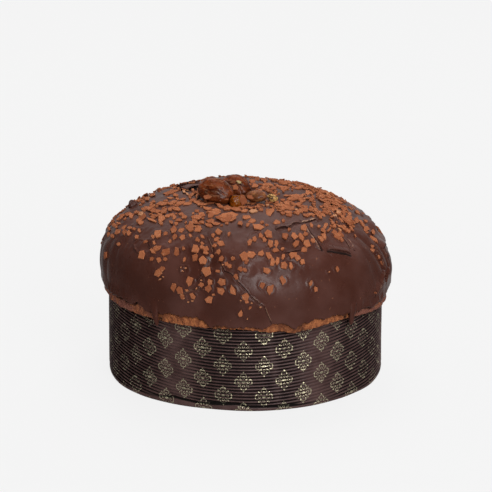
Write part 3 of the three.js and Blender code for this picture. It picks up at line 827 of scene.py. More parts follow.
PLATES = [
    ([(84, 0.27), (95, 0.30), (108, 0.305), (121, 0.33), (136, 0.31)], 0.6, 2.0, 0.1, 12, 0),
    ([(78, 0.16), (90, 0.15), (98, 0.17), (112, 0.18), (124, 0.16)], 0.6, 1.8, 0.1, 10, 0),
    ([(96, 0.44), (108, 0.41), (120, 0.42), (133, 0.45)], 0.6, 0.9, 0.1, 9, 0),
    ([(80, 0.07), (91, 0.08), (104, 0.06)], 0.6, 0.8, 0.1, 8, 0),
    ([(-84, 0.20), (-92, 0.24), (-104, 0.27), (-118, 0.26)], 0.6, 0.1, 0.8, 9, 0),
    ([(150, 0.35), (166, 0.30), (180, 0.33), (196, 0.28)], 0.6, 1.8, 0.1, 10, 0.1),
    ([(222, 0.10), (214, 0.24), (219, 0.38), (211, 0.5)], 0.6, 1.4, 0.2, 7, 0.3),
    ([(158, 0.12), (163, 0.2), (160, 0.29)], 0.6, 0.2, 1.2, 6, 0.3),
    ([(117, 0.53), (110, 0.48), (104, 0.43), (99, 0.385), (96, 0.355)], 0.6, 0.1, 1.5, 12, 0),
]

# The lip's section: share of its reach, lift in millimetres, and share of its height.
LIP_PROFILE = [
    (1.0, -0.6, 0.0), (0.75, -0.25, 0.05), (0.5, 0.0, 0.35), (0.25, 0.0, 0.75), (0.08, 0.0, 1.0),
    (0.0, 0.0, 0.92), (0.02, -0.05, 0.6), (0.2, -0.15, 0.3), (0.3, -0.7, 0.0), (0.6, -1.1, 0.0),
]
CRACK_SEED = 500


def tube_faces(rings, sides):
    """Faces of a tube of closed rings, with a flat face at each end."""
    ring, side = np.meshgrid(np.arange(rings - 1), np.arange(sides), indexing="ij")
    here, after = ring * sides + side, ring * sides + (side + 1) % sides
    quads = np.stack([here, after, after + sides, here + sides], axis=-1).reshape(-1, 4)
    return [quads, np.arange(sides)[None, ::-1], (rings - 1) * sides + np.arange(sides)[None]]


def join_tubes(tubes):
    """The points of some tubes of rings in one list, and the faces of each, which count on from the tube
    before."""
    kept, first = [[], [], []], 0
    for tube in tubes:
        for faces, part in zip(kept, tube_faces(*tube.shape[:2])):
            faces.append(part + first)
        first += tube.shape[0] * tube.shape[1]
    points = np.concatenate([tube.reshape(-1, 3) for tube in tubes])
    return points, [np.concatenate(faces) for faces in kept]


def broken_lip(azimuth, place, side, gap, height, reach, paleness_and_highlight):
    """One lip along a path over the skin, as the section's points set off across the path and lifted from
    the skin, lower and narrower towards both ends. Side 1 lies left of the way the path runs, and -1 right
    of it."""
    per_degree, per_place = seat(azimuth, place)[4:]
    run = unit(np.stack([np.gradient(azimuth) * per_degree, np.gradient(place) * per_place], axis=-1))
    share = np.linspace(0, 1, len(azimuth))
    taper = smoothstep(share, -0.02, 0.15) * smoothstep(share, 1.02, 0.85)
    out, sunk, raised = np.array(LIP_PROFILE).T
    off = side * (gap / 2 + out * reach * (0.3 + 0.7 * taper[:, None]))
    lip_azimuth = azimuth[:, None] - off * run[:, None, 1] / per_degree[:, None]
    lip_place = place[:, None] + off * run[:, None, 0] / per_place[:, None]
    points = skin(lip_azimuth, lip_place, sunk + raised * height * taper[:, None])
    pale = (raised > 0.9) * taper[:, None] * (paleness_and_highlight if height > 0.25 else 0)
    return (points, pale) if side > 0 else (points[:, ::-1], pale[:, ::-1])


lips, lip_pale, crack_lines = [], [], []
for number, (path, gap, left_height, right_height, reach, paleness_and_highlight) in enumerate(CRACKS + PLATES):
    path = np.array(path, float)
    in_picture = number < len(CRACKS)
    legs = np.diff(path, axis=0, prepend=path[:1]) * (1, 1 if in_picture else 100)
    run = np.cumsum(np.linalg.norm(legs, axis=1))
    samples = np.linspace(0, run[-1], int(run[-1] * 1.2) + 6)
    smooth = np.stack([np.interp(samples, run, column) for column in path.T], axis=-1)
    drift = np.random.default_rng(CRACK_SEED + number).normal(0, 0.2, (len(smooth) + 2, 2))
    drift = (drift[:-2] + 2 * drift[1:-1] + drift[2:]) / 4
    if in_picture:
        azimuth, place = under_pixels(smooth + drift, skin)
    else:
        azimuth, place = (smooth + drift * (1.5, 0.015)).T
    crack_lines.append((skin(azimuth, place), gap))
    for side, height in ((1, left_height), (-1, right_height)):
        points, pale = broken_lip(azimuth, place, side, gap, height, reach, paleness_and_highlight)
        lips.append(points)
        lip_pale.append(pale.ravel())
broken_edges = make_piece(
    "broken_chocolate_edges", *join_tubes(lips), chocolate, "dark_chocolate", "chocolate_glaze",
)
keep_values(broken_edges, "pale", np.concatenate(lip_pale))


def nudge(piece, rise):
    """Moves each vertex of a piece along its normal, by a rise in millimetres."""
    points, normals = np.empty((2, len(piece.data.vertices), 3))
    piece.data.vertices.foreach_get("co", points.reshape(-1))
    piece.data.vertices.foreach_get("normal", normals.reshape(-1))
    piece.data.vertices.foreach_set("co", (points + normals * rise[:, None] * MM).ravel())
    piece.data.update()


def how_near(points, line, reach):
    """A bell of the distance from points to a line given by close points: 1 on it, and about a third at the
    reach. Points outside the line's box, grown by three reaches, get 0."""
    inside = (points > line.min(axis=0) - 3 * reach) & (points < line.max(axis=0) + 3 * reach)
    near = np.flatnonzero(inside.all(axis=1))
    away = np.linalg.norm(points[near, None] - line, axis=2).min(axis=1)
    nearness = np.zeros(len(points))
    nearness[near] = bell(away, 0, reach)
    return nearness


# Under the sheet that stands up at the top left, the skin is sunk in a hollow, painted dark as shade: two
# ellipses in the picture, each by its middle and half size, on the top only.
HOLLOW_ELLIPSES = [((189, 187.4), (13, 3.8)), ((198, 191), (3.4, 8))]
HOLLOW_LOWEST = 120
HOLLOW_DEPTH = 2.8
CREVICE_DEPTH = 0.9

# Along the cracks the skin is sunk a little and painted near black as shade, and so is the hollow.
crevice = np.max([how_near(skin_points, line, 0.5 + gap / 3) for line, gap in crack_lines], axis=0)
skin_pixels = to_pixels(skin_points)
away = [(((skin_pixels - middle) / size) ** 2).sum(axis=1) for middle, size in HOLLOW_ELLIPSES]
hollow = smoothstep(np.min(away, axis=0), 1.4, 0.6) * (skin_points[:, 2] > HOLLOW_LOWEST)
nudge(chocolate_skin, -CREVICE_DEPTH * crevice - HOLLOW_DEPTH * hollow)
keep_values(chocolate_skin, "crevice", np.maximum(crevice, hollow))

# The drips. Where the poured chocolate ran past its edge it set as tapering icicles against the crust. Two
# show at the front, and a few more go round the back.

# Those seen are given by pixels and by widths in pixels, those round the back by azimuth, width and the
# height of the tip.
DRIPS_SEEN = [
    [(151.4, 296, 16), (153.3, 305, 11.4), (154.3, 312, 7.8), (155.7, 319, 5.6), (157.2, 326, 2.4)],
    [(354, 296, 15), (353.6, 304, 10.6), (352.2, 311, 7.8), (351.2, 317.3, 6), (350.4, 325, 2.4)],
]
DRIPS_ROUND = [(108, 5, 59), (137, 7, 64), (163, 5, 58), (190, 6, 65), (214, 5, 59), (239, 7, 65)]
DRIP_TOP = 82
DRIP_TAPER = np.array([2.4, 1.3, 0.8, 0.3])
DRIP_THICKNESS = 3.8
DRIP_RINGS = 18
DRIP_SIDES = 14
SHADOW_SHIFTS = (3.6, -4.4)
SHADOW_REACH = 1.9
SHADOW_DEPTH = 2.3


def drip_tube(azimuth, height, width):
    """A tapering tube down the crown: rings of an ellipse, as wide as asked but flat where that is wide,
    which come out of the skin at the top and are rounded off at the tip."""
    place = place_at_height(height)
    share = np.linspace(0, 1, DRIP_RINGS)
    known = np.linspace(0, 1, len(azimuth))
    azimuth, place, width = (np.interp(share, known, values) for values in (azimuth, place, width))
    turn = np.linspace(0, 2 * np.pi, DRIP_SIDES, endpoint=False)
    rounded = np.sqrt(np.clip(1 - ((share - 0.9) / 0.1).clip(0, 1) ** 2 * 0.97, 0.02, 1))
    half = (width / 2 * rounded)[:, None]
    thick = np.minimum(half, DRIP_THICKNESS / 2)
    off = half * np.cos(turn)
    lift = thick * np.sin(turn) - GLAZE + 2.3 * smoothstep(share, 0, 0.5)[:, None]
    scale = np.degrees(1 / CROWN_RADIUS)
    return skin(azimuth[:, None] - off * scale, place[:, None] + 0 * off, lift)


drip_paths = []
for path in DRIPS_SEEN:
    azimuth, place = under_pixels([point[:2] for point in path], crown)
    drip_paths.append((azimuth, crown_section(place)[1], [point[2] * 0.8 for point in path]))
for azimuth, width, tip in DRIPS_ROUND:
    heights = np.linspace(DRIP_TOP, tip, len(DRIP_TAPER))
    drip_paths.append((np.full(len(DRIP_TAPER), float(azimuth)), heights, DRIP_TAPER * width))
drips = join_tubes([drip_tube(*path) for path in drip_paths])

# The crust is dark in the shadow at the inner side of the two drips at the front.
beside = [np.array(path)[1:-1, :2] + (shift, 0) for path, shift in zip(DRIPS_SEEN, SHADOW_SHIFTS)]
beside = [crown(*under_pixels(path, crown), -SHADOW_DEPTH) for path in beside]
beside_drips = np.max([how_near(loaf_points, line, SHADOW_REACH) for line in beside], axis=0)
keep_values(loaf, "beside_drips", beside_drips)
make_piece("chocolate_drips", *drips, chocolate, "dark_chocolate", "chocolate_glaze")

# The flakes. Thin chips of milk chocolate, strewn while the coating was soft: heaped on the top and
# shoulders, and single ones pressed in lower down at the front. Each is a small plate with a knocked,
# rounded outline.

# A chip or crumb that was read off the picture is given by its pixel, its length and width in pixels, and
# the degrees by which it leans up from level there.
FRONT_CHIPS = [
    (142, 255, 10, 7, 75), (152, 259.3, 5, 4, 80), (159.3, 260.3, 5, 4.6, 10), (165.6, 259.5, 4, 4, 0),
    (165.7, 252.8, 8.8, 6.8, 30), (157.3, 248.6, 7.6, 5.4, 10), (153.3, 252.1, 6.2, 4, -35),
    (154.3, 243.2, 4, 3, 80), (146, 241.7, 4.8, 2.8, 25), (157.8, 234.3, 8.4, 7.8, 40),
    (165.5, 234, 4.4, 4.2, 0), (153.3, 237.2, 4, 3.6, 0), (139.5, 231.3, 4, 3, 60),
    (137, 237.5, 3.8, 3, 60), (119.2, 244.7, 3.8, 2.8, 70), (117.9, 232, 7, 4, 50),
    (113, 236.3, 4.6, 3.8, 45), (109, 234.6, 5, 2.2, 80), (106.1, 255.3, 7, 2.8, 80),
    (102.7, 243.2, 3.6, 2.4, 80), (124.7, 232.6, 5.6, 3.4, 60), (129.1, 233.3, 5.4, 4, 45),
    (130.1, 228.6, 5, 2.8, 0), (134.5, 229.6, 3.4, 2.6, 40), (139.5, 221.4, 6, 3.2, 5),
    (161.4, 224.9, 3, 1.8, 0), (173.9, 230.3, 8, 6, 85), (181.2, 230.8, 6.8, 4.6, 30),
    (182.5, 237.9, 6, 5.4, 20), (175.1, 237.2, 6, 4, 50), (170.1, 241.9, 4, 3, 80),
    (176.9, 252.1, 8.6, 5.2, 75), (183.7, 248.9, 4.2, 3.2, 80), (184.8, 259.8, 5.4, 3, 80),
    (190.4, 228.3, 9, 8, 35), (197.8, 230.5, 8, 4.8, 0), (190.4, 236, 4, 2.6, -45),
    (202.6, 236.9, 5, 3.2, -30), (197.8, 240.5, 5, 4, -60), (202.6, 244, 4, 2.4, -35),
    (218.6, 232.6, 7.4, 6, 30), (213.1, 236.3, 4.4, 3.4, 60), (229.1, 234.8, 5, 2.6, 60),
    (216.6, 240.2, 6, 4, 20), (220.5, 243.8, 7, 5.4, -20), (215.1, 246.2, 5, 4, 30),
    (195.8, 249.4, 8, 7, 80), (202.5, 248, 5, 4, 20), (206.2, 249.6, 6, 4.6, 60), (205.6, 253.2, 5, 4, -20),
    (212.1, 256.5, 4, 3.4, 80), (218.6, 252.4, 5, 4.4, 30), (221.3, 258.7, 6.4, 4.4, 70),
    (195.3, 258, 8, 6.6, 80), (203, 260.7, 8.4, 8.2, 85), (206.7, 271.4, 10, 8, -60),
    (217.6, 271.4, 5, 3.4, 0), (226.5, 264.4, 5, 3.8, -60), (229.9, 266.9, 4.6, 4.2, -30),
    (233.2, 258.7, 5.4, 3.6, 0), (235.9, 276.8, 6, 3.8, -70), (158.3, 273.3, 7, 6.4, 60),
    (162.7, 269.2, 6.4, 4.6, 15), (189.9, 281.2, 9, 6.8, -80), (174.1, 286.7, 8, 5, 80),
    (180, 290, 8, 7, -60), (182.5, 296, 7, 4, -65), (187.1, 290.3, 3.4, 3, 0),
    (192.9, 296.1, 6.4, 5.2, -70), (201.6, 285, 5.2, 5, 0), (210.2, 282.2, 7, 5, 80),
    (208.5, 288.9, 8, 6.6, 85), (221.5, 282.2, 8.4, 7, 5), (221, 290.9, 8, 7, 0),
    (232.7, 290.6, 9.4, 5.4, -80), (209, 300, 8, 6.8, 40), (213.6, 294.6, 3.2, 3, 0),
    (245.4, 297, 7.6, 7.4, 20), (246.9, 301.7, 4.2, 3.8, 0), (240.8, 313.4, 7, 4.6, 80),
    (249.9, 307.7, 4.6, 2.4, 50), (240.6, 269.5, 6, 5, -25), (244.8, 270.6, 5, 3.6, -70),
    (244.1, 257.3, 9, 8, 10), (251.2, 254.8, 9.4, 7.4, 10), (246.1, 261.4, 6, 4, 80),
    (260.9, 253.6, 6, 5.6, 20), (268.6, 256.3, 8, 6, -50), (272.7, 263, 8, 4.8, 85),
    (277.2, 261.9, 8, 4.6, 85), (282.9, 257.3, 7, 3, 70), (292.8, 255.4, 8, 6.6, -10),
    (297.4, 258.2, 7, 5.6, -50), (302.2, 261.9, 6.4, 4.6, 65), (284.1, 266.2, 7.8, 7, -80),
    (290.7, 266.5, 7.4, 4.2, -85), (266.7, 270.9, 7.4, 5.6, -25), (282.7, 280.3, 8.4, 5.4, -70),
    (262.2, 285.4, 6.6, 5.6, 40), (269.6, 289, 9, 6.8, 75), (310.4, 283.2, 5.4, 3.6, 80),
    (315.5, 289, 6, 4, 85), (336.7, 269.1, 6, 3.6, -80), (374.7, 292.6, 2, 1.6, 0),
    (371.6, 250.2, 4.6, 3.2, -40), (371.8, 246.4, 3.2, 2.8, 0), (381.3, 263, 6, 3, -65),
    (378.3, 256.8, 4.6, 2.2, -70), (275.2, 250.7, 6.4, 4.4, 0), (282.3, 249.5, 3.4, 3.2, 0),
    (270.6, 244.8, 7.4, 5.6, -80), (276.2, 244.4, 7, 4.4, 85), (264.3, 240.5, 6, 4.6, -60),
    (268.1, 234.4, 8, 7, -30), (260.4, 236.2, 6, 4.2, -60), (254.3, 239.5, 5.4, 4.2, -70),
    (249.5, 242.8, 7, 3.8, 75), (284.9, 236.6, 7, 6.4, -10), (294.3, 236.4, 7, 5.4, -65),
    (295.6, 244.1, 7.4, 5.4, 60), (301.2, 238, 9.6, 5, -60), (305.3, 234.9, 5, 4.4, 0),
    (306.5, 244.1, 8, 6, -50), (303.8, 250.2, 6.4, 5.2, -40), (312.7, 241, 4.8, 4, -40),
    (320.6, 239.5, 7, 4.4, -60), (323.7, 236.9, 6.4, 4.4, -60), (303.8, 228.8, 7, 6, -20),
    (311.4, 225.7, 5, 2.8, -60), (289, 230.3, 3.4, 3.4, 0), (276.7, 222.7, 7, 4.2, 10),
    (283.4, 221.6, 3.4, 3, 0), (258.4, 227.4, 10.8, 5.6, -8), (252, 221.9, 7, 3.8, 5),
    (247.7, 225.2, 4, 3.4, 0), (261.9, 223.2, 4.4, 3.2, 0), (266.7, 225.7, 4, 1.8, 0),
    (337.4, 236.9, 8, 6, -50), (334, 233, 6, 3.4, -60), (341, 240.5, 5, 3, -55),
]
CRUMBS = [
    (160.6, 279.4, 2.6, 1.4, 40), (163.8, 277, 2, 1.2, -30), (186.2, 268.4, 2.4, 1.6, 20),
    (182.6, 271.2, 2, 1.6, -20), (181, 267.6, 1.8, 1.2, 60), (192.8, 300.6, 2.2, 1.6, 0),
    (184.4, 298.2, 2, 1.2, 40), (188.6, 301.8, 2, 1.4, -20), (196.6, 288.6, 2.4, 1.6, 70),
    (201.4, 280.4, 2, 1.6, 0), (222.6, 265.2, 2, 1.4, 20), (240.6, 300.4, 2.2, 1.4, 0),
    (247.4, 318.6, 2, 1.2, 60), (251.6, 302.8, 2, 1.6, 0), (328.6, 272.4, 1.6, 1.2, 0),
    (260.6, 306.8, 2.4, 1.6, 30),
]

# Where the strewn chips lie close in the picture: the middle and half sizes of an ellipse, and how densely
# they lie in it. Then where the chocolate is bare among them: the middle and half sizes alone.
DENSE_PATCHES = [
    (158, 207, 27, 11, 0.3), (125, 222, 14, 8, 0.15), (205, 214, 22, 9, 0.25), (180, 192, 24, 6, 0.2),
    (206, 198, 12, 5, 0.3), (258, 205, 22, 5, 0.7), (290, 206, 36, 8, 0.8), (330, 208, 22, 12, 0.7),
    (342, 226, 14, 10, 0.3), (270, 187, 22, 6, 0.6), (312, 190, 40, 9, 0.7), (246, 186, 14, 6, 0.4),
    (193, 224, 10, 4, 0.3), (310, 200, 12, 7, 0.5),
]
BARE_PATCHES = [
    (300, 193.5, 9, 3), (306, 204, 6, 2.6), (316, 204.5, 6, 2.6), (279, 199, 8, 2.2), (188, 209, 14, 4),
    (158, 197, 9, 4), (292, 212, 8, 1.6), (270, 184, 5, 1.6), (128, 224, 6, 3), (192, 187, 8, 4),
    (368, 210, 7, 6), (354, 205, 11, 4.5), (104, 239, 4, 5),
]

# Chips and shards on the top and shoulders that were read off the picture.
SHARDS = [
    (152.5, 196, 9, 3, 8), (174.6, 187, 9, 4, 20), (169.5, 193.6, 11, 5.5, 10), (175.6, 196, 6, 3, 0),
    (147, 200, 9, 6.5, 0), (153.7, 202.5, 4, 2.5, 0), (161.8, 204.3, 14, 7.5, 10),
    (182.8, 199.7, 6, 2.5, 10), (173.6, 202.8, 9, 2.5, 10), (180.2, 203.8, 14, 3.4, 18),
    (187.9, 204.3, 9, 3, 15), (193, 200.7, 8, 3, 10), (197, 202.8, 7, 3, 0), (201.6, 204.8, 11, 4, 0),
    (206.2, 208.9, 6, 4, -20), (210.3, 203.3, 9, 3, 0), (211.3, 198.2, 8, 4, 15), (205.7, 199.2, 3, 3, 0),
    (217.4, 203.3, 8, 4, -20), (220, 206.8, 9, 3, -30), (227.7, 208.9, 9, 4, -10),
    (236.3, 209.9, 10, 4, -10), (197, 211.4, 5, 2.6, 0), (197, 218, 7.5, 4.5, -5), (201, 214.5, 5, 3, 0),
    (214.4, 213.5, 12, 3.5, 5), (216.4, 210.9, 9, 2.5, 0), (210.8, 216, 6, 4, 0), (229, 216, 19, 6, 12),
    (225, 219, 15, 9, -10), (233, 220, 13, 6, 20), (210.3, 222, 9, 4, 0), (215.9, 224.2, 7, 3.5, 0),
    (208.8, 226.2, 8, 3, -10), (197, 223.7, 10, 2.6, -5), (202, 223, 5, 3, 0), (240.4, 223.7, 5, 4, 0),
    (221.5, 226, 4, 1.6, 0), (227, 224, 4, 2, 0), (144, 209.9, 6, 4, 0), (148, 208.9, 8, 3, 0),
    (153.7, 211.4, 8, 5, -20), (140.9, 214, 6, 4, 0), (136.8, 213, 5, 3, 0), (142.4, 217.5, 10, 4.6, 15),
    (140.9, 223.4, 6.5, 3.5, 0), (153.2, 217, 6, 4.5, 0), (152.1, 220.6, 9, 3, -15),
    (161.3, 219.6, 8, 5, 45), (160.8, 223.7, 4, 2.5, 0), (164.4, 211.9, 9, 6, 40), (158.3, 212.4, 6, 4, 0),
    (160.3, 215.5, 5, 2.5, 0), (170, 210, 5, 5, 0), (176.6, 209.9, 8, 4, -10), (173, 208.4, 5, 2.5, 0),
    (172, 215.5, 5, 2.5, 0), (174.6, 218, 5, 4, 40), (181.7, 215, 5, 3.5, 0), (184.3, 217.6, 6, 3.5, 30),
    (178.7, 220.6, 6, 3, 0), (171, 222.7, 5, 3.5, -30), (176, 224.2, 4, 3, 0), (122.6, 216, 6, 2.6, 10),
    (128.7, 215, 8, 4, 20), (131.2, 217, 5, 3.5, 45), (114.4, 225.2, 6, 6, 0), (119, 223.7, 4, 2, 0),
    (109.3, 228.8, 5, 2, 80), (116.4, 227.2, 3, 3, 0), (183.8, 192, 6, 3, -50), (187.3, 194.6, 10, 2, -50),
    (190, 197.7, 6, 2.5, -45), (197, 196.6, 5, 2, 60), (198.6, 190, 6, 2.6, 70), (193, 190.5, 3, 3, 0),
    (192, 195, 6, 3.5, 10), (184.8, 183.9, 5, 2, 5), (191.4, 183.2, 7, 2.4, 8), (257, 179.5, 6, 3, 0),
    (263, 180.2, 7, 2.6, -5), (272.1, 180.3, 8, 2.5, -5), (283.9, 183.4, 11, 3.5, -5),
    (252.2, 181.8, 6, 4, 0), (266, 185.9, 8, 3, 0), (255.3, 186.9, 9, 3, 10), (269.1, 191, 9, 4, -20),
    (273.7, 189, 9, 3, 10), (283.9, 189, 9, 4, 0), (298.2, 188.7, 8, 2, 0), (294, 182.3, 9, 3, -5),
    (305.3, 189, 7, 2.4, 0), (307.3, 193.1, 6, 5, 40), (301.2, 196.6, 8, 4, 20), (252, 203.6, 8, 4.4, 10),
    (253, 212, 8, 3.6, 10), (244.5, 211.5, 7, 3, 5), (269.5, 212.5, 9, 6, 15), (246.5, 218, 9, 3.6, 5),
    (261, 210.5, 5, 2.4, 0), (338, 213, 8.2, 3.1, -50), (340.5, 220.6, 6.1, 2.6, -50),
    (348.2, 219.6, 8.2, 6.1, 0), (356.3, 220.6, 8.2, 2.6, -65), (361.4, 223.7, 9.2, 2.2, -60),
    (343.1, 213, 6.1, 2.6, -20), (328.8, 211.9, 6.1, 2, -15), (326.7, 207.3, 8.2, 3.1, -10),
    (332.3, 223.7, 5.1, 2.6, -50), (334.4, 227.2, 4.1, 3.1, -40), (325.7, 226.2, 6.1, 4.1, 70),
    (323.2, 230.8, 6.1, 4.1, -40), (328.8, 230.3, 6.1, 2.6, 50), (338, 236.9, 9.2, 4.1, -40),
    (334.9, 234.4, 4.1, 3.1, 0), (340.5, 234.4, 6.1, 2, -50), (342, 228.3, 6.1, 2, -50),
    (345.1, 230.3, 6.1, 2, -50), (348.2, 231.3, 5.1, 3.1, -40), (350.7, 228.3, 6.1, 2.6, -60),
    (352.2, 224.2, 4.1, 2, 0), (365.5, 229.3, 6.1, 5.1, -30), (372.7, 232.3, 5.1, 4.1, -60),
    (372.7, 239, 9.2, 2.6, -45), (366.5, 232.9, 3.1, 2, 0), (320.6, 239, 6.1, 3.6, -60),
    (323.7, 236.4, 5.1, 4.1, -50), (318.6, 227.2, 3.1, 2.6, 0), (354.8, 236.4, 4.1, 2, -50),
    (367.6, 217, 6.1, 3.1, -40), (365.5, 221.6, 4.1, 2.6, -50), (374.7, 225.2, 5.1, 2, -60),
    (330.8, 200.7, 9.2, 3.1, -15), (336.9, 198.2, 6.1, 4.1, -35), (342, 200.2, 6.1, 3.1, -35),
    (346.1, 203.3, 8.2, 4.1, -40), (350.7, 205.8, 6.1, 3.6, -40), (353.3, 208.9, 6.1, 3.1, -40),
    (357.3, 213, 7.1, 3.6, -40), (331.8, 195.1, 7.1, 3.6, -10), (319.6, 194.1, 5.1, 2.6, 0),
    (322.7, 196.6, 8.2, 3.6, 0), (318.6, 189, 4.1, 3.1, 60), (324.7, 192, 6.1, 2.6, -20),
    (327.8, 203.8, 7.1, 3.6, -15), (321.6, 200.7, 7.1, 3.1, -10), (333.9, 203.8, 6.1, 3.1, -15),
    (338, 205.8, 5.1, 3.1, -20), (342, 207.9, 6.1, 3.1, -30), (345.1, 209.9, 4.1, 2.6, 0),
    (328.8, 198.2, 6.1, 2.6, -10), (310.4, 209.9, 5.1, 3.6, 0), (325.7, 213, 7.1, 3.1, -10),
    (311.4, 215, 7.1, 2.6, -5), (306.3, 216, 6.1, 2.6, 0), (300.2, 210.9, 8.2, 3.1, 10),
    (295.6, 213, 7.1, 3.1, 5), (291, 208.9, 9.2, 3.6, 5), (284.9, 207.9, 8.2, 4.1, 0),
    (288, 213, 7.1, 2.6, 0), (280.8, 205.8, 7.1, 3.6, 0), (297.1, 205.3, 8.2, 2.6, 5),
    (302.2, 201.7, 7.1, 2.6, 10), (307.3, 198.7, 7.1, 3.1, 0), (299.2, 198.7, 8.2, 2.6, 5),
    (291, 199.7, 8.2, 3.1, 0), (295.1, 196.6, 7.1, 2.6, 10), (286.9, 203.8, 6.1, 2.6, 0),
    (276.7, 205.8, 5.1, 3.1, 0), (282.9, 200.7, 5.1, 2, 0), (305.3, 207.9, 5.1, 2.6, 0),
    (313.5, 204.8, 5.1, 2, -10), (315.5, 209.9, 4.1, 2, 0), (317.6, 216, 5.1, 2, -20),
    (289, 216, 6.1, 2, 0), (282.9, 214, 5.1, 2.6, 0), (301.2, 206.8, 5.1, 2, 0),
]

# Chips that stick to the candied chestnuts: the middle in millimetres, the way each faces, half sizes and
# lean. The first is the darkest, and the last is a yellow crumb.
CHIPS_ON_NUTS = [
    ((-1.5, -20.9, 141.4), (0.45, -0.75, 0.4), 4.6, 3.4, -62),
    ((-14.6, -17.6, 142.5), (0.35, -0.65, 0.6), 2.6, 2.4, 20),
    ((-28.3, -18.7, 143.0), (-0.2, -0.6, 0.75), 3.6, 2.2, 8),
    ((-7.6, 3.6, 143.8), (0, -0.65, 0.75), 2.6, 2.8, 30),
    ((4.0, -14.0, 141.5), (0.1, -0.7, 0.7), 3.0, 2.0, -20),
    ((-4.6, 6.4, 146.8), (0.1, -0.7, 0.7), 2.3, 1.4, -35),
]
CHIP_SEED = 2611
TRIAL_COUNT = 9000
CHIP_COUNT = 800
CHIP_SPACING = 1.9
CHIP_CUTS = 5
CHIP_CORNERS = 2 * CHIP_CUTS
LONGEST_HALF = 9.0
LONGEST_AT_RIM = 4.8
RIM_FACING = 0.38
PALE_SHARE = 0.015

# The stacked rings of a chip: the size of each, and its height as a share of the thickness.
CHIP_RINGS = [(0.9, -0.5), (1.0, 0.62), (0.87, 1.0)]


def chip_points(centre, long_half, wide_half, out, thickness, draw):
    """Chips as rings of corners. The outline is what five straight cuts leave, each at its own distance
    from the middle and turned a little from its fifth of the circle: its corners lie where two cuts meet,
    with a point between each two. The rings stack from the sunk underside to the slightly smaller top, and
    a point closes each end."""
    count = len(centre)
    fifths = np.arange(CHIP_CUTS) + draw.uniform(-0.3, 0.3, (count, CHIP_CUTS))
    cut = fifths * 0.4 * np.pi + draw.uniform(0, 2 * np.pi, (count, 1))
    away = draw.uniform(0.68, 0.98, (count, CHIP_CUTS))
    after, further = np.roll(cut, -1, axis=1), np.roll(away, -1, axis=1)
    along = away * np.sin(after) - further * np.sin(cut)
    across = further * np.cos(cut) - away * np.cos(after)
    corner = np.stack([along, across], axis=-1) / np.sin(after - cut)[..., None]
    corner = corner * np.minimum(1, 1.3 / np.linalg.norm(corner, axis=-1, keepdims=True))
    between = (corner + np.roll(corner, -1, axis=1)) / 2 * draw.uniform(0.93, 1.03, (count, CHIP_CUTS, 1))
    outline = np.stack([corner, between], axis=2).reshape(count, CHIP_CORNERS, 2)
    flat = long_half[:, None] * outline[..., :1] + wide_half[:, None] * outline[..., 1:]
    up = (out * thickness[:, None])[:, None]
    rings = [centre[:, None] + flat * scale + up * height for scale, height in CHIP_RINGS]
    ends = [centre[:, None] + up * height for height in (CHIP_RINGS[-1][1], CHIP_RINGS[0][1])]
    return np.concatenate([*rings[::-1], *ends], axis=1)


def chip_faces(count):
    """The faces of one chip, repeated for each chip."""
    one_chip = shell_faces(len(CHIP_RINGS), CHIP_CORNERS)
    first = np.arange(count)[:, None, None] * (len(CHIP_RINGS) * CHIP_CORNERS + 2)
    return [(first + part).reshape(-1, part.shape[1]) for part in one_chip]


def seen_chips(chips, draw, lift, thickness, tilt):
    """Chips read off the picture, whose half sizes there are turned into half sizes along the skin. They
    are capped, more so near the crown's outline, where the picture tells little of them, and tilted at
    random."""
    across, down, length, width, lean = np.array(chips, float).T
    azimuth, place = under_pixels(np.stack([across, down], axis=-1), skin)
    point, along, upward, out, _, _ = seat(azimuth, place)
    here = to_pixels(point)
    by_along, by_upward = to_pixels(point + along) - here, to_pixels(point + upward) - here
    facing = (unit(eye / MM - point) * out).sum(axis=1)
    longest = np.where(facing > RIM_FACING, LONGEST_HALF, LONGEST_AT_RIM)[:, None]
    halves = []
    for reach, turn in ((length / 2, np.radians(lean)), (width / 2, np.radians(lean + 90))):
        want = np.stack([reach * np.cos(turn), -reach * np.sin(turn)], axis=-1)
        share_along, share_upward = shares_of(want, by_along, by_upward)
        half = along * share_along[:, None] + upward * share_upward[:, None]
        half = half * np.minimum(1, longest / np.linalg.norm(half, axis=1, keepdims=True))
        slope = draw.normal(0, tilt, (len(point), 1)) * np.linalg.norm(half, axis=1, keepdims=True)
        halves.append(half * 1.1 + out * slope)
    return chip_points(point + out * lift, *halves, out, draw.uniform(*thickness, len(point)), draw)


def patch_weight(pixels, patches):
    """The largest weight of the soft-edged ellipses that a pixel lies in."""
    weight = 0.0
    for across, down, wide, high, *strength in patches:
        away = ((pixels[..., 0] - across) / wide) ** 2 + ((pixels[..., 1] - down) / high) ** 2
        weight = np.maximum(weight, (strength or [1.0])[0] * smoothstep(away, 1.5, 0.6))
    return weight


def chip_chance(points):
    """How likely a chip is at a point where the picture shows the crown, by the dense and bare patches, and
    where it doesn't, by height. Both are thinned by a patchy noise."""
    pixels = to_pixels(points)
    patchy = smoothstep(waves(points, 26, 61), -0.6, 0.5)
    elsewhere = smoothstep(points[:, 2], 96, 122) * (0.15 + 0.6 * patchy)
    fine = 0.45 + 0.55 * smoothstep(waves(points, 13, 62), -0.5, 0.3)
    return patch_weight(pixels, DENSE_PATCHES) * fine * (1 - patch_weight(pixels, BARE_PATCHES)), elsewhere


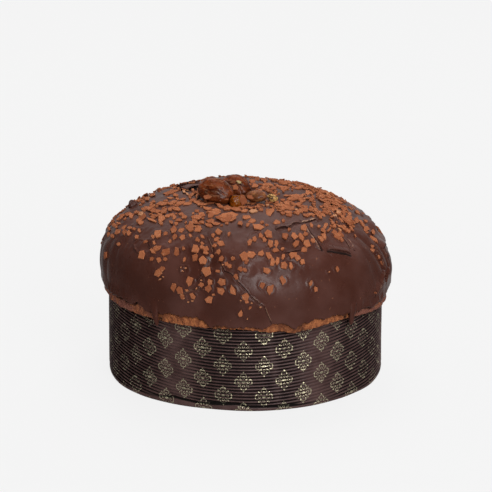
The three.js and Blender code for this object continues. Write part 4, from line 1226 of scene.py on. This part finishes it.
draw = np.random.default_rng(CHIP_SEED)
azimuth = draw.uniform(-180, 180, TRIAL_COUNT)
place = 1 - 2 / np.pi * np.arcsin(np.sqrt(draw.uniform(0.0006, 0.95, TRIAL_COUNT)))
point, along, upward, out, _, _ = seat(azimuth, place)
shown = ((eye / MM - point) * out).sum(axis=-1) > 0
by_patch, by_height = chip_chance(point)
chance = np.where(shown, by_patch, by_height)
kept = []
for number in np.flatnonzero(draw.uniform(0, 1, TRIAL_COUNT) < chance):
    clear = (np.linalg.norm(point[kept] - point[number], axis=1) > CHIP_SPACING).all()
    if clear and len(kept) < CHIP_COUNT:
        kept.append(number)
point, along, upward, out = (values[kept] for values in (point, along, upward, out))
size = draw.gamma(5, 0.32, (len(kept), 1)) + 0.6
turn = draw.uniform(0, 2 * np.pi, (len(kept), 1))
slope = draw.normal(0, 0.12, (2, len(kept), 1)).clip(-0.2, 0.2)
long_half = size * (along * np.cos(turn) + upward * np.sin(turn) + out * slope[0])
narrow = draw.uniform(0.4, 0.9, (len(kept), 1))
wide_half = size * narrow * (upward * np.cos(turn) - along * np.sin(turn) + out * slope[1])
lift = draw.exponential(0.25, (len(kept), 1)) + 0.1
thickness = draw.uniform(0.5, 0.95, len(kept))
strewn = chip_points(point + out * lift, long_half, wide_half, out, thickness, draw)
front_chips = seen_chips(FRONT_CHIPS + CRUMBS, draw, 0.1, (0.8, 1.3), 0.05)
shards = seen_chips(SHARDS, draw, 0.35, (0.5, 0.9), 0.09)
place, out, long_reach, wide_reach, lean = (np.array(column, float) for column in zip(*CHIPS_ON_NUTS))
out = unit(out)
across = unit(np.cross([0, 0, 1], out))
above = np.cross(out, across)
turn = np.radians(lean)[:, None]
long_half = long_reach[:, None] * (across * np.cos(turn) + above * np.sin(turn))
wide_half = wide_reach[:, None] * (above * np.cos(turn) - across * np.sin(turn))
perched = chip_points(place, long_half, wide_half, out, np.full(len(place), 0.9), draw)
all_chips = np.concatenate([front_chips, shards, perched, strewn])


def milk_chocolate():
    """Milk chocolate, dull and grainy with paler flecks. Each chip's own shade makes it darker at 0,
    lighter at 1, pale from 1.2 and a yellow crumb of chestnut from 1.5."""
    material, tree, shader = new_finish("milk_chocolate", 0.7, 0.12)
    shade = kept_value(tree, "shade")
    grain = noise(tree, 1500, 3, 0.6)
    colour = mix_colours(tree, shade, seen(132, 74, 46), seen(159, 96, 63))
    colour = mix_colours(tree, climb(tree, grain, 0.3, 0.5, 0.5, 0.0), colour, seen(106, 58, 36))
    flecks = climb(tree, noise(tree, 650, 2), 0.6, 0.68, 0.0, 0.6)
    pale = calculate(tree, "MAXIMUM", flecks, climb(tree, shade, 1.0, 1.2))
    colour = mix_colours(tree, pale, colour, seen(172, 120, 86))
    colour = mix_colours(tree, climb(tree, shade, 1.4, 1.5), colour, seen(170, 146, 104))
    tree.links.new(colour, shader.inputs["Base Color"])
    add_bump(tree, shader, grain, 0.25)
    return material


chips = make_piece(
    "milk_chocolate_flakes", all_chips.reshape(-1, 3), chip_faces(len(all_chips)), milk_chocolate(),
    "milk_chocolate", "chocolate_glaze", smooth=False,
)
shade = draw.uniform(0, 1, len(all_chips))
pale = draw.uniform(0, 1, len(all_chips)) < PALE_SHARE
pale[:len(front_chips)] = False
shade[pale] = 1.3
shade[len(front_chips) - len(CRUMBS):len(front_chips)] = 1.1
first_perched = len(front_chips) + len(shards)
shade[first_perched] = 0.0
shade[first_perched + len(perched) - 1] = 1.6
keep_values(chips, "shade", np.repeat(shade, all_chips.shape[1]))

# Each chip at the front pushed the soft skin up in a low rim round it: a bell of the distance from its
# outline.
RIM_RISE = 0.4
RIM_WIDTH = 0.8
HIGHEST_RIM = 0.75

middles = front_chips.mean(axis=1)
reaches = np.linalg.norm(front_chips - middles[:, None], axis=2)[:, :CHIP_CORNERS].mean(axis=1)
rise = np.zeros(len(skin_points))
for middle, reach in zip(middles, reaches):
    away = np.linalg.norm(skin_points - middle, axis=1)
    rise += RIM_RISE * bell(away - reach - RIM_WIDTH, 0, RIM_WIDTH)
nudge(chocolate_skin, np.minimum(rise, HIGHEST_RIM))

# The candied chestnuts. Two whole ones, furrowed where the shell was, a split piece, a lump of amber syrup
# and a pale crumb, pressed into the soft chocolate round the apex and glossy with syrup.

# Each is given by its name, node, slot and finish, its middle and half sizes in millimetres, its turn and
# lean in degrees, the depth and number of its furrows, how lumpy it is, and its seed.
CHESTNUTS = [
    ("candied_chestnut_left", "chestnut_left", "candied_chestnut", "candied_chestnut",
     (-22.5, -8, 143.9), (14.4, 11.0, 9.8), -24, 15, 0.04, 5, 0.08, 71),
    ("candied_chestnut_back", "chestnut_back", "candied_chestnut", "candied_chestnut",
     (-7, 14, 139.9), (12.3, 10.3, 10.0), -35, 0, 0.04, 5, 0.1, 72),
    ("candied_chestnut_piece", "chestnut_right", "candied_chestnut", "split_chestnut",
     (9.3, -8, 140.6), (8.6, 5.6, 4.2), -8, 0, 0.05, 3, 0.1, 78),
    ("amber_syrup_lump", "chestnut_front", "amber_syrup", "amber_syrup",
     (-6.4, -19.6, 137.2), (5.6, 5.2, 6.8), 30, 0, 0.05, 3, 0.16, 76),
    ("pale_chestnut_crumb", "chestnut_crumb", "chestnut_crumb", "pale_crumb",
     (21.0, -9, 139.3), (4.1, 3.4, 3.0), 15, 0, 0.3, 3, 0.2, 75),
]

# Their finishes: the dark, light and vein colours, roughness, how see-through, grains a metre and wrinkles
# in millimetres.
NUT_FINISHES = {
    "candied_chestnut": ((54, 19, 7), (108, 50, 22), (138, 100, 74), 0.36, 0.12, 110, 0.4),
    "split_chestnut": ((94, 52, 32), (128, 78, 48), (166, 112, 60), 0.42, 0.15, 150, 0.4),
    "amber_syrup": ((98, 42, 4), (134, 74, 12), (146, 92, 34), 0.36, 0.5, 90, 0.1),
    "pale_crumb": ((58, 30, 14), (200, 154, 92), (222, 194, 138), 0.6, 0.05, 300, 0.8),
}
NUT_ROWS = 80
NUT_COLUMNS = 130


def turned_by(first, second, angle):
    """Two coordinates turned by an angle in degrees, from the first towards the second."""
    cosine, sine = np.cos(np.radians(angle)), np.sin(np.radians(angle))
    return first * cosine - second * sine, first * sine + second * cosine


def nut_points(centre, half, turn, lean, depth, furrows, lumpy, seed):
    """A ball stretched to its half sizes, dented by sharp wandering furrows that run from end to end, by
    broad dimples and by fine wrinkles, then leant down at its +X end and turned about the upright. Also
    gives where pale veins run beside the furrows."""
    tilt = np.linspace(0, np.pi, NUT_ROWS + 2)[1:-1]
    spin = np.linspace(0, 2 * np.pi, NUT_COLUMNS, endpoint=False)
    tilt, spin = np.meshgrid(tilt, spin, indexing="ij")
    ball = np.stack([np.sin(tilt) * np.sin(spin), -np.sin(tilt) * np.cos(spin), np.cos(tilt)], axis=-1)
    ball = np.concatenate([ball.reshape(-1, 3), [[0, 0, 1], [0, 0, -1]]])
    bent = ball + 0.3 * np.stack([waves(ball, 1.9, seed + shift) for shift in (100, 200, 300)], axis=-1)
    phase = np.abs(np.sin(furrows * np.arctan2(bent[:, 2], bent[:, 1]) / 2))
    middle = smoothstep(np.abs(ball[:, 0]), 1.0, 0.6)
    reach = 1 - depth * (1 - phase) ** 5 * middle + lumpy * waves(ball, 1.8, seed)
    reach = reach + 0.03 * waves(ball, 0.6, seed + 1) + 0.012 * waves(ball, 0.25, seed + 2)
    along, across, up = (ball * reach[:, None] * half).T
    up, along = turned_by(up, along, lean)
    along, across = turned_by(along, across, turn)
    vein = bell(phase, 0.42, 0.07) + 0.7 * bell(phase, 0.72, 0.05)
    return np.stack([along, across, up], axis=-1) + centre, vein * middle


def syrupy_finish(name, dark, light, pale, rough, soft, grain, wrinkles):
    """A sticky candied surface: two colours in cloudy streaks and pale veins under a thin clear coat, and
    slightly see-through."""
    material, tree, shader = new_finish(name, rough, 0.11)
    streaks = noise(tree, grain, 4, 0.6, (1, 1, 2))
    colour = mix_colours(tree, climb(tree, streaks, 0.38, 0.62), seen(*dark), seen(*light))
    vein = climb(tree, noise(tree, 320, 2), 0.42, 0.6, 0.0, 0.85)
    vein = multiply(tree, kept_value(tree, "vein"), vein)
    colour = mix_colours(tree, vein, colour, seen(*pale))
    tree.links.new(colour, shader.inputs["Base Color"])
    shader.inputs["Coat Weight"].default_value = 0.16
    shader.inputs["Coat Roughness"].default_value = 0.18
    shader.inputs["Subsurface Weight"].default_value = soft
    shader.inputs["Subsurface Radius"].default_value = (0.004, 0.0015, 0.0006)
    rough = climb(tree, noise(tree, 260, 3), 0.35, 0.6, rough - 0.12, rough + 0.12)
    tree.links.new(rough, shader.inputs["Roughness"])
    add_bump(tree, shader, noise(tree, 600, 3), wrinkles)
    return material


nut_finishes = {name: syrupy_finish(name, *given) for name, given in NUT_FINISHES.items()}
nut_faces = shell_faces(NUT_ROWS, NUT_COLUMNS)
for name, node, slot, finish, *shape in CHESTNUTS:
    points, vein = nut_points(*shape)
    nut = make_piece(name, points, nut_faces, nut_finishes[finish], slot, node)
    keep_values(nut, "vein", vein)

# The dark lump. A blob of the chocolate coating that was drawn up as it set, and sticks up from the left
# shoulder: a lumpy ball like the nuts, sunk halfway into the skin.
LUMP_PIXEL = (133, 205.5)
LUMP_LIFT = 0.6
LUMP_HALF = (3.8, 3.2, 3.4)

# Its turn and lean, the depth and number of its furrows, how lumpy it is, and its seed.
LUMP_SHAPE = (20, 0, 0.3, 3, 0.3, 79)

lump_middle = seat(*under_pixels([LUMP_PIXEL], skin), LUMP_LIFT)[0][0]
lump_points = nut_points(lump_middle, LUMP_HALF, *LUMP_SHAPE)[0]
make_piece("chocolate_lump", lump_points, nut_faces, chocolate, "dark_chocolate", "chocolate_glaze")

# The floor and light, which aren't part of the object. The floor is pale and evenly lit. A broad soft light
# hangs above and behind, another in front to the right, a small one lays a sheen on the top, and a faint
# one stands at each side.

# The pale room shows only in reflections, brighter above and behind than in front and at the sides.
FLOOR_SIZE = 10.0
FLOOR_GLOW = 0.845

half = FLOOR_SIZE / 2
floor_corners = [(-half, -half, 0), (half, -half, 0), (half, half, 0), (-half, half, 0)]
floor_mesh = bpy.data.meshes.new("floor")
floor_mesh.from_pydata(floor_corners, [], [(0, 1, 2, 3)])
floor = bpy.data.objects.new("floor", floor_mesh)
bpy.context.scene.collection.objects.link(floor)
floor_paint, _, floor_shader = new_finish("pale_floor", 0.9, 0.0)
floor_shader.inputs["Base Color"].default_value = (0.05, 0.05, 0.05, 1)
floor_shader.inputs["Emission Color"].default_value = (1, 1, 1, 1)
floor_shader.inputs["Emission Strength"].default_value = FLOOR_GLOW
floor_mesh.materials.append(floor_paint)
floor.visible_glossy = False

from mathutils import Vector

# The lights: place and size in metres, power, and whether they show in reflections.
LIGHT_AIM = Vector((0, 0, 0.08))
LIGHTS = [
    ("overhead", (0.1, 1.0, 1.9), 1.6, 43, False), ("top_sheen", (0.75, -0.7, 1.8), 0.7, 7.5, True),
    ("front_fill", (0.75, -2.27, 1.45), 1.4, 59, True), ("left_fill", (-2.5, 0.8, 0.9), 1.2, 16, False),
    ("right_fill", (2.5, 0.8, 0.9), 1.2, 5, False),
]
for name, place, size, power, reflected in LIGHTS:
    lamp = bpy.data.lights.new(name, "AREA")
    lamp.size = size
    lamp.energy = power
    light = bpy.data.objects.new(name, lamp)
    bpy.context.scene.collection.objects.link(light)
    light.location = place
    light.rotation_euler = (light.location - LIGHT_AIM).to_track_quat("Z", "Y").to_euler()
    light.visible_glossy = reflected

world = bpy.data.worlds.new("room")
bpy.context.scene.world = world
world.use_nodes = True
world.cycles_visibility.diffuse = False
room = world.node_tree
background = room.nodes["Background"]
background.inputs["Color"].default_value = (1, 1, 1, 1)
way = add_node(room, "SeparateXYZ", {0: add_node(room, "TexCoord", {}).outputs["Generated"]})
across, behind, above = way.outputs
glow = climb(room, above, -0.4, 0.6, 0.25, 0.4)
shade = climb(room, across, -0.8, -0.1, 0.3, 1.0)
shade = multiply(room, shade, climb(room, across, 0.3, 0.9, 1.0, 0.3))
shade = multiply(room, shade, climb(room, behind, 0.35, 0.8, 0.2, 1.4))
room.links.new(multiply(room, glow, shade), background.inputs["Strength"])
bpy.context.scene.view_settings.view_transform = "Standard"
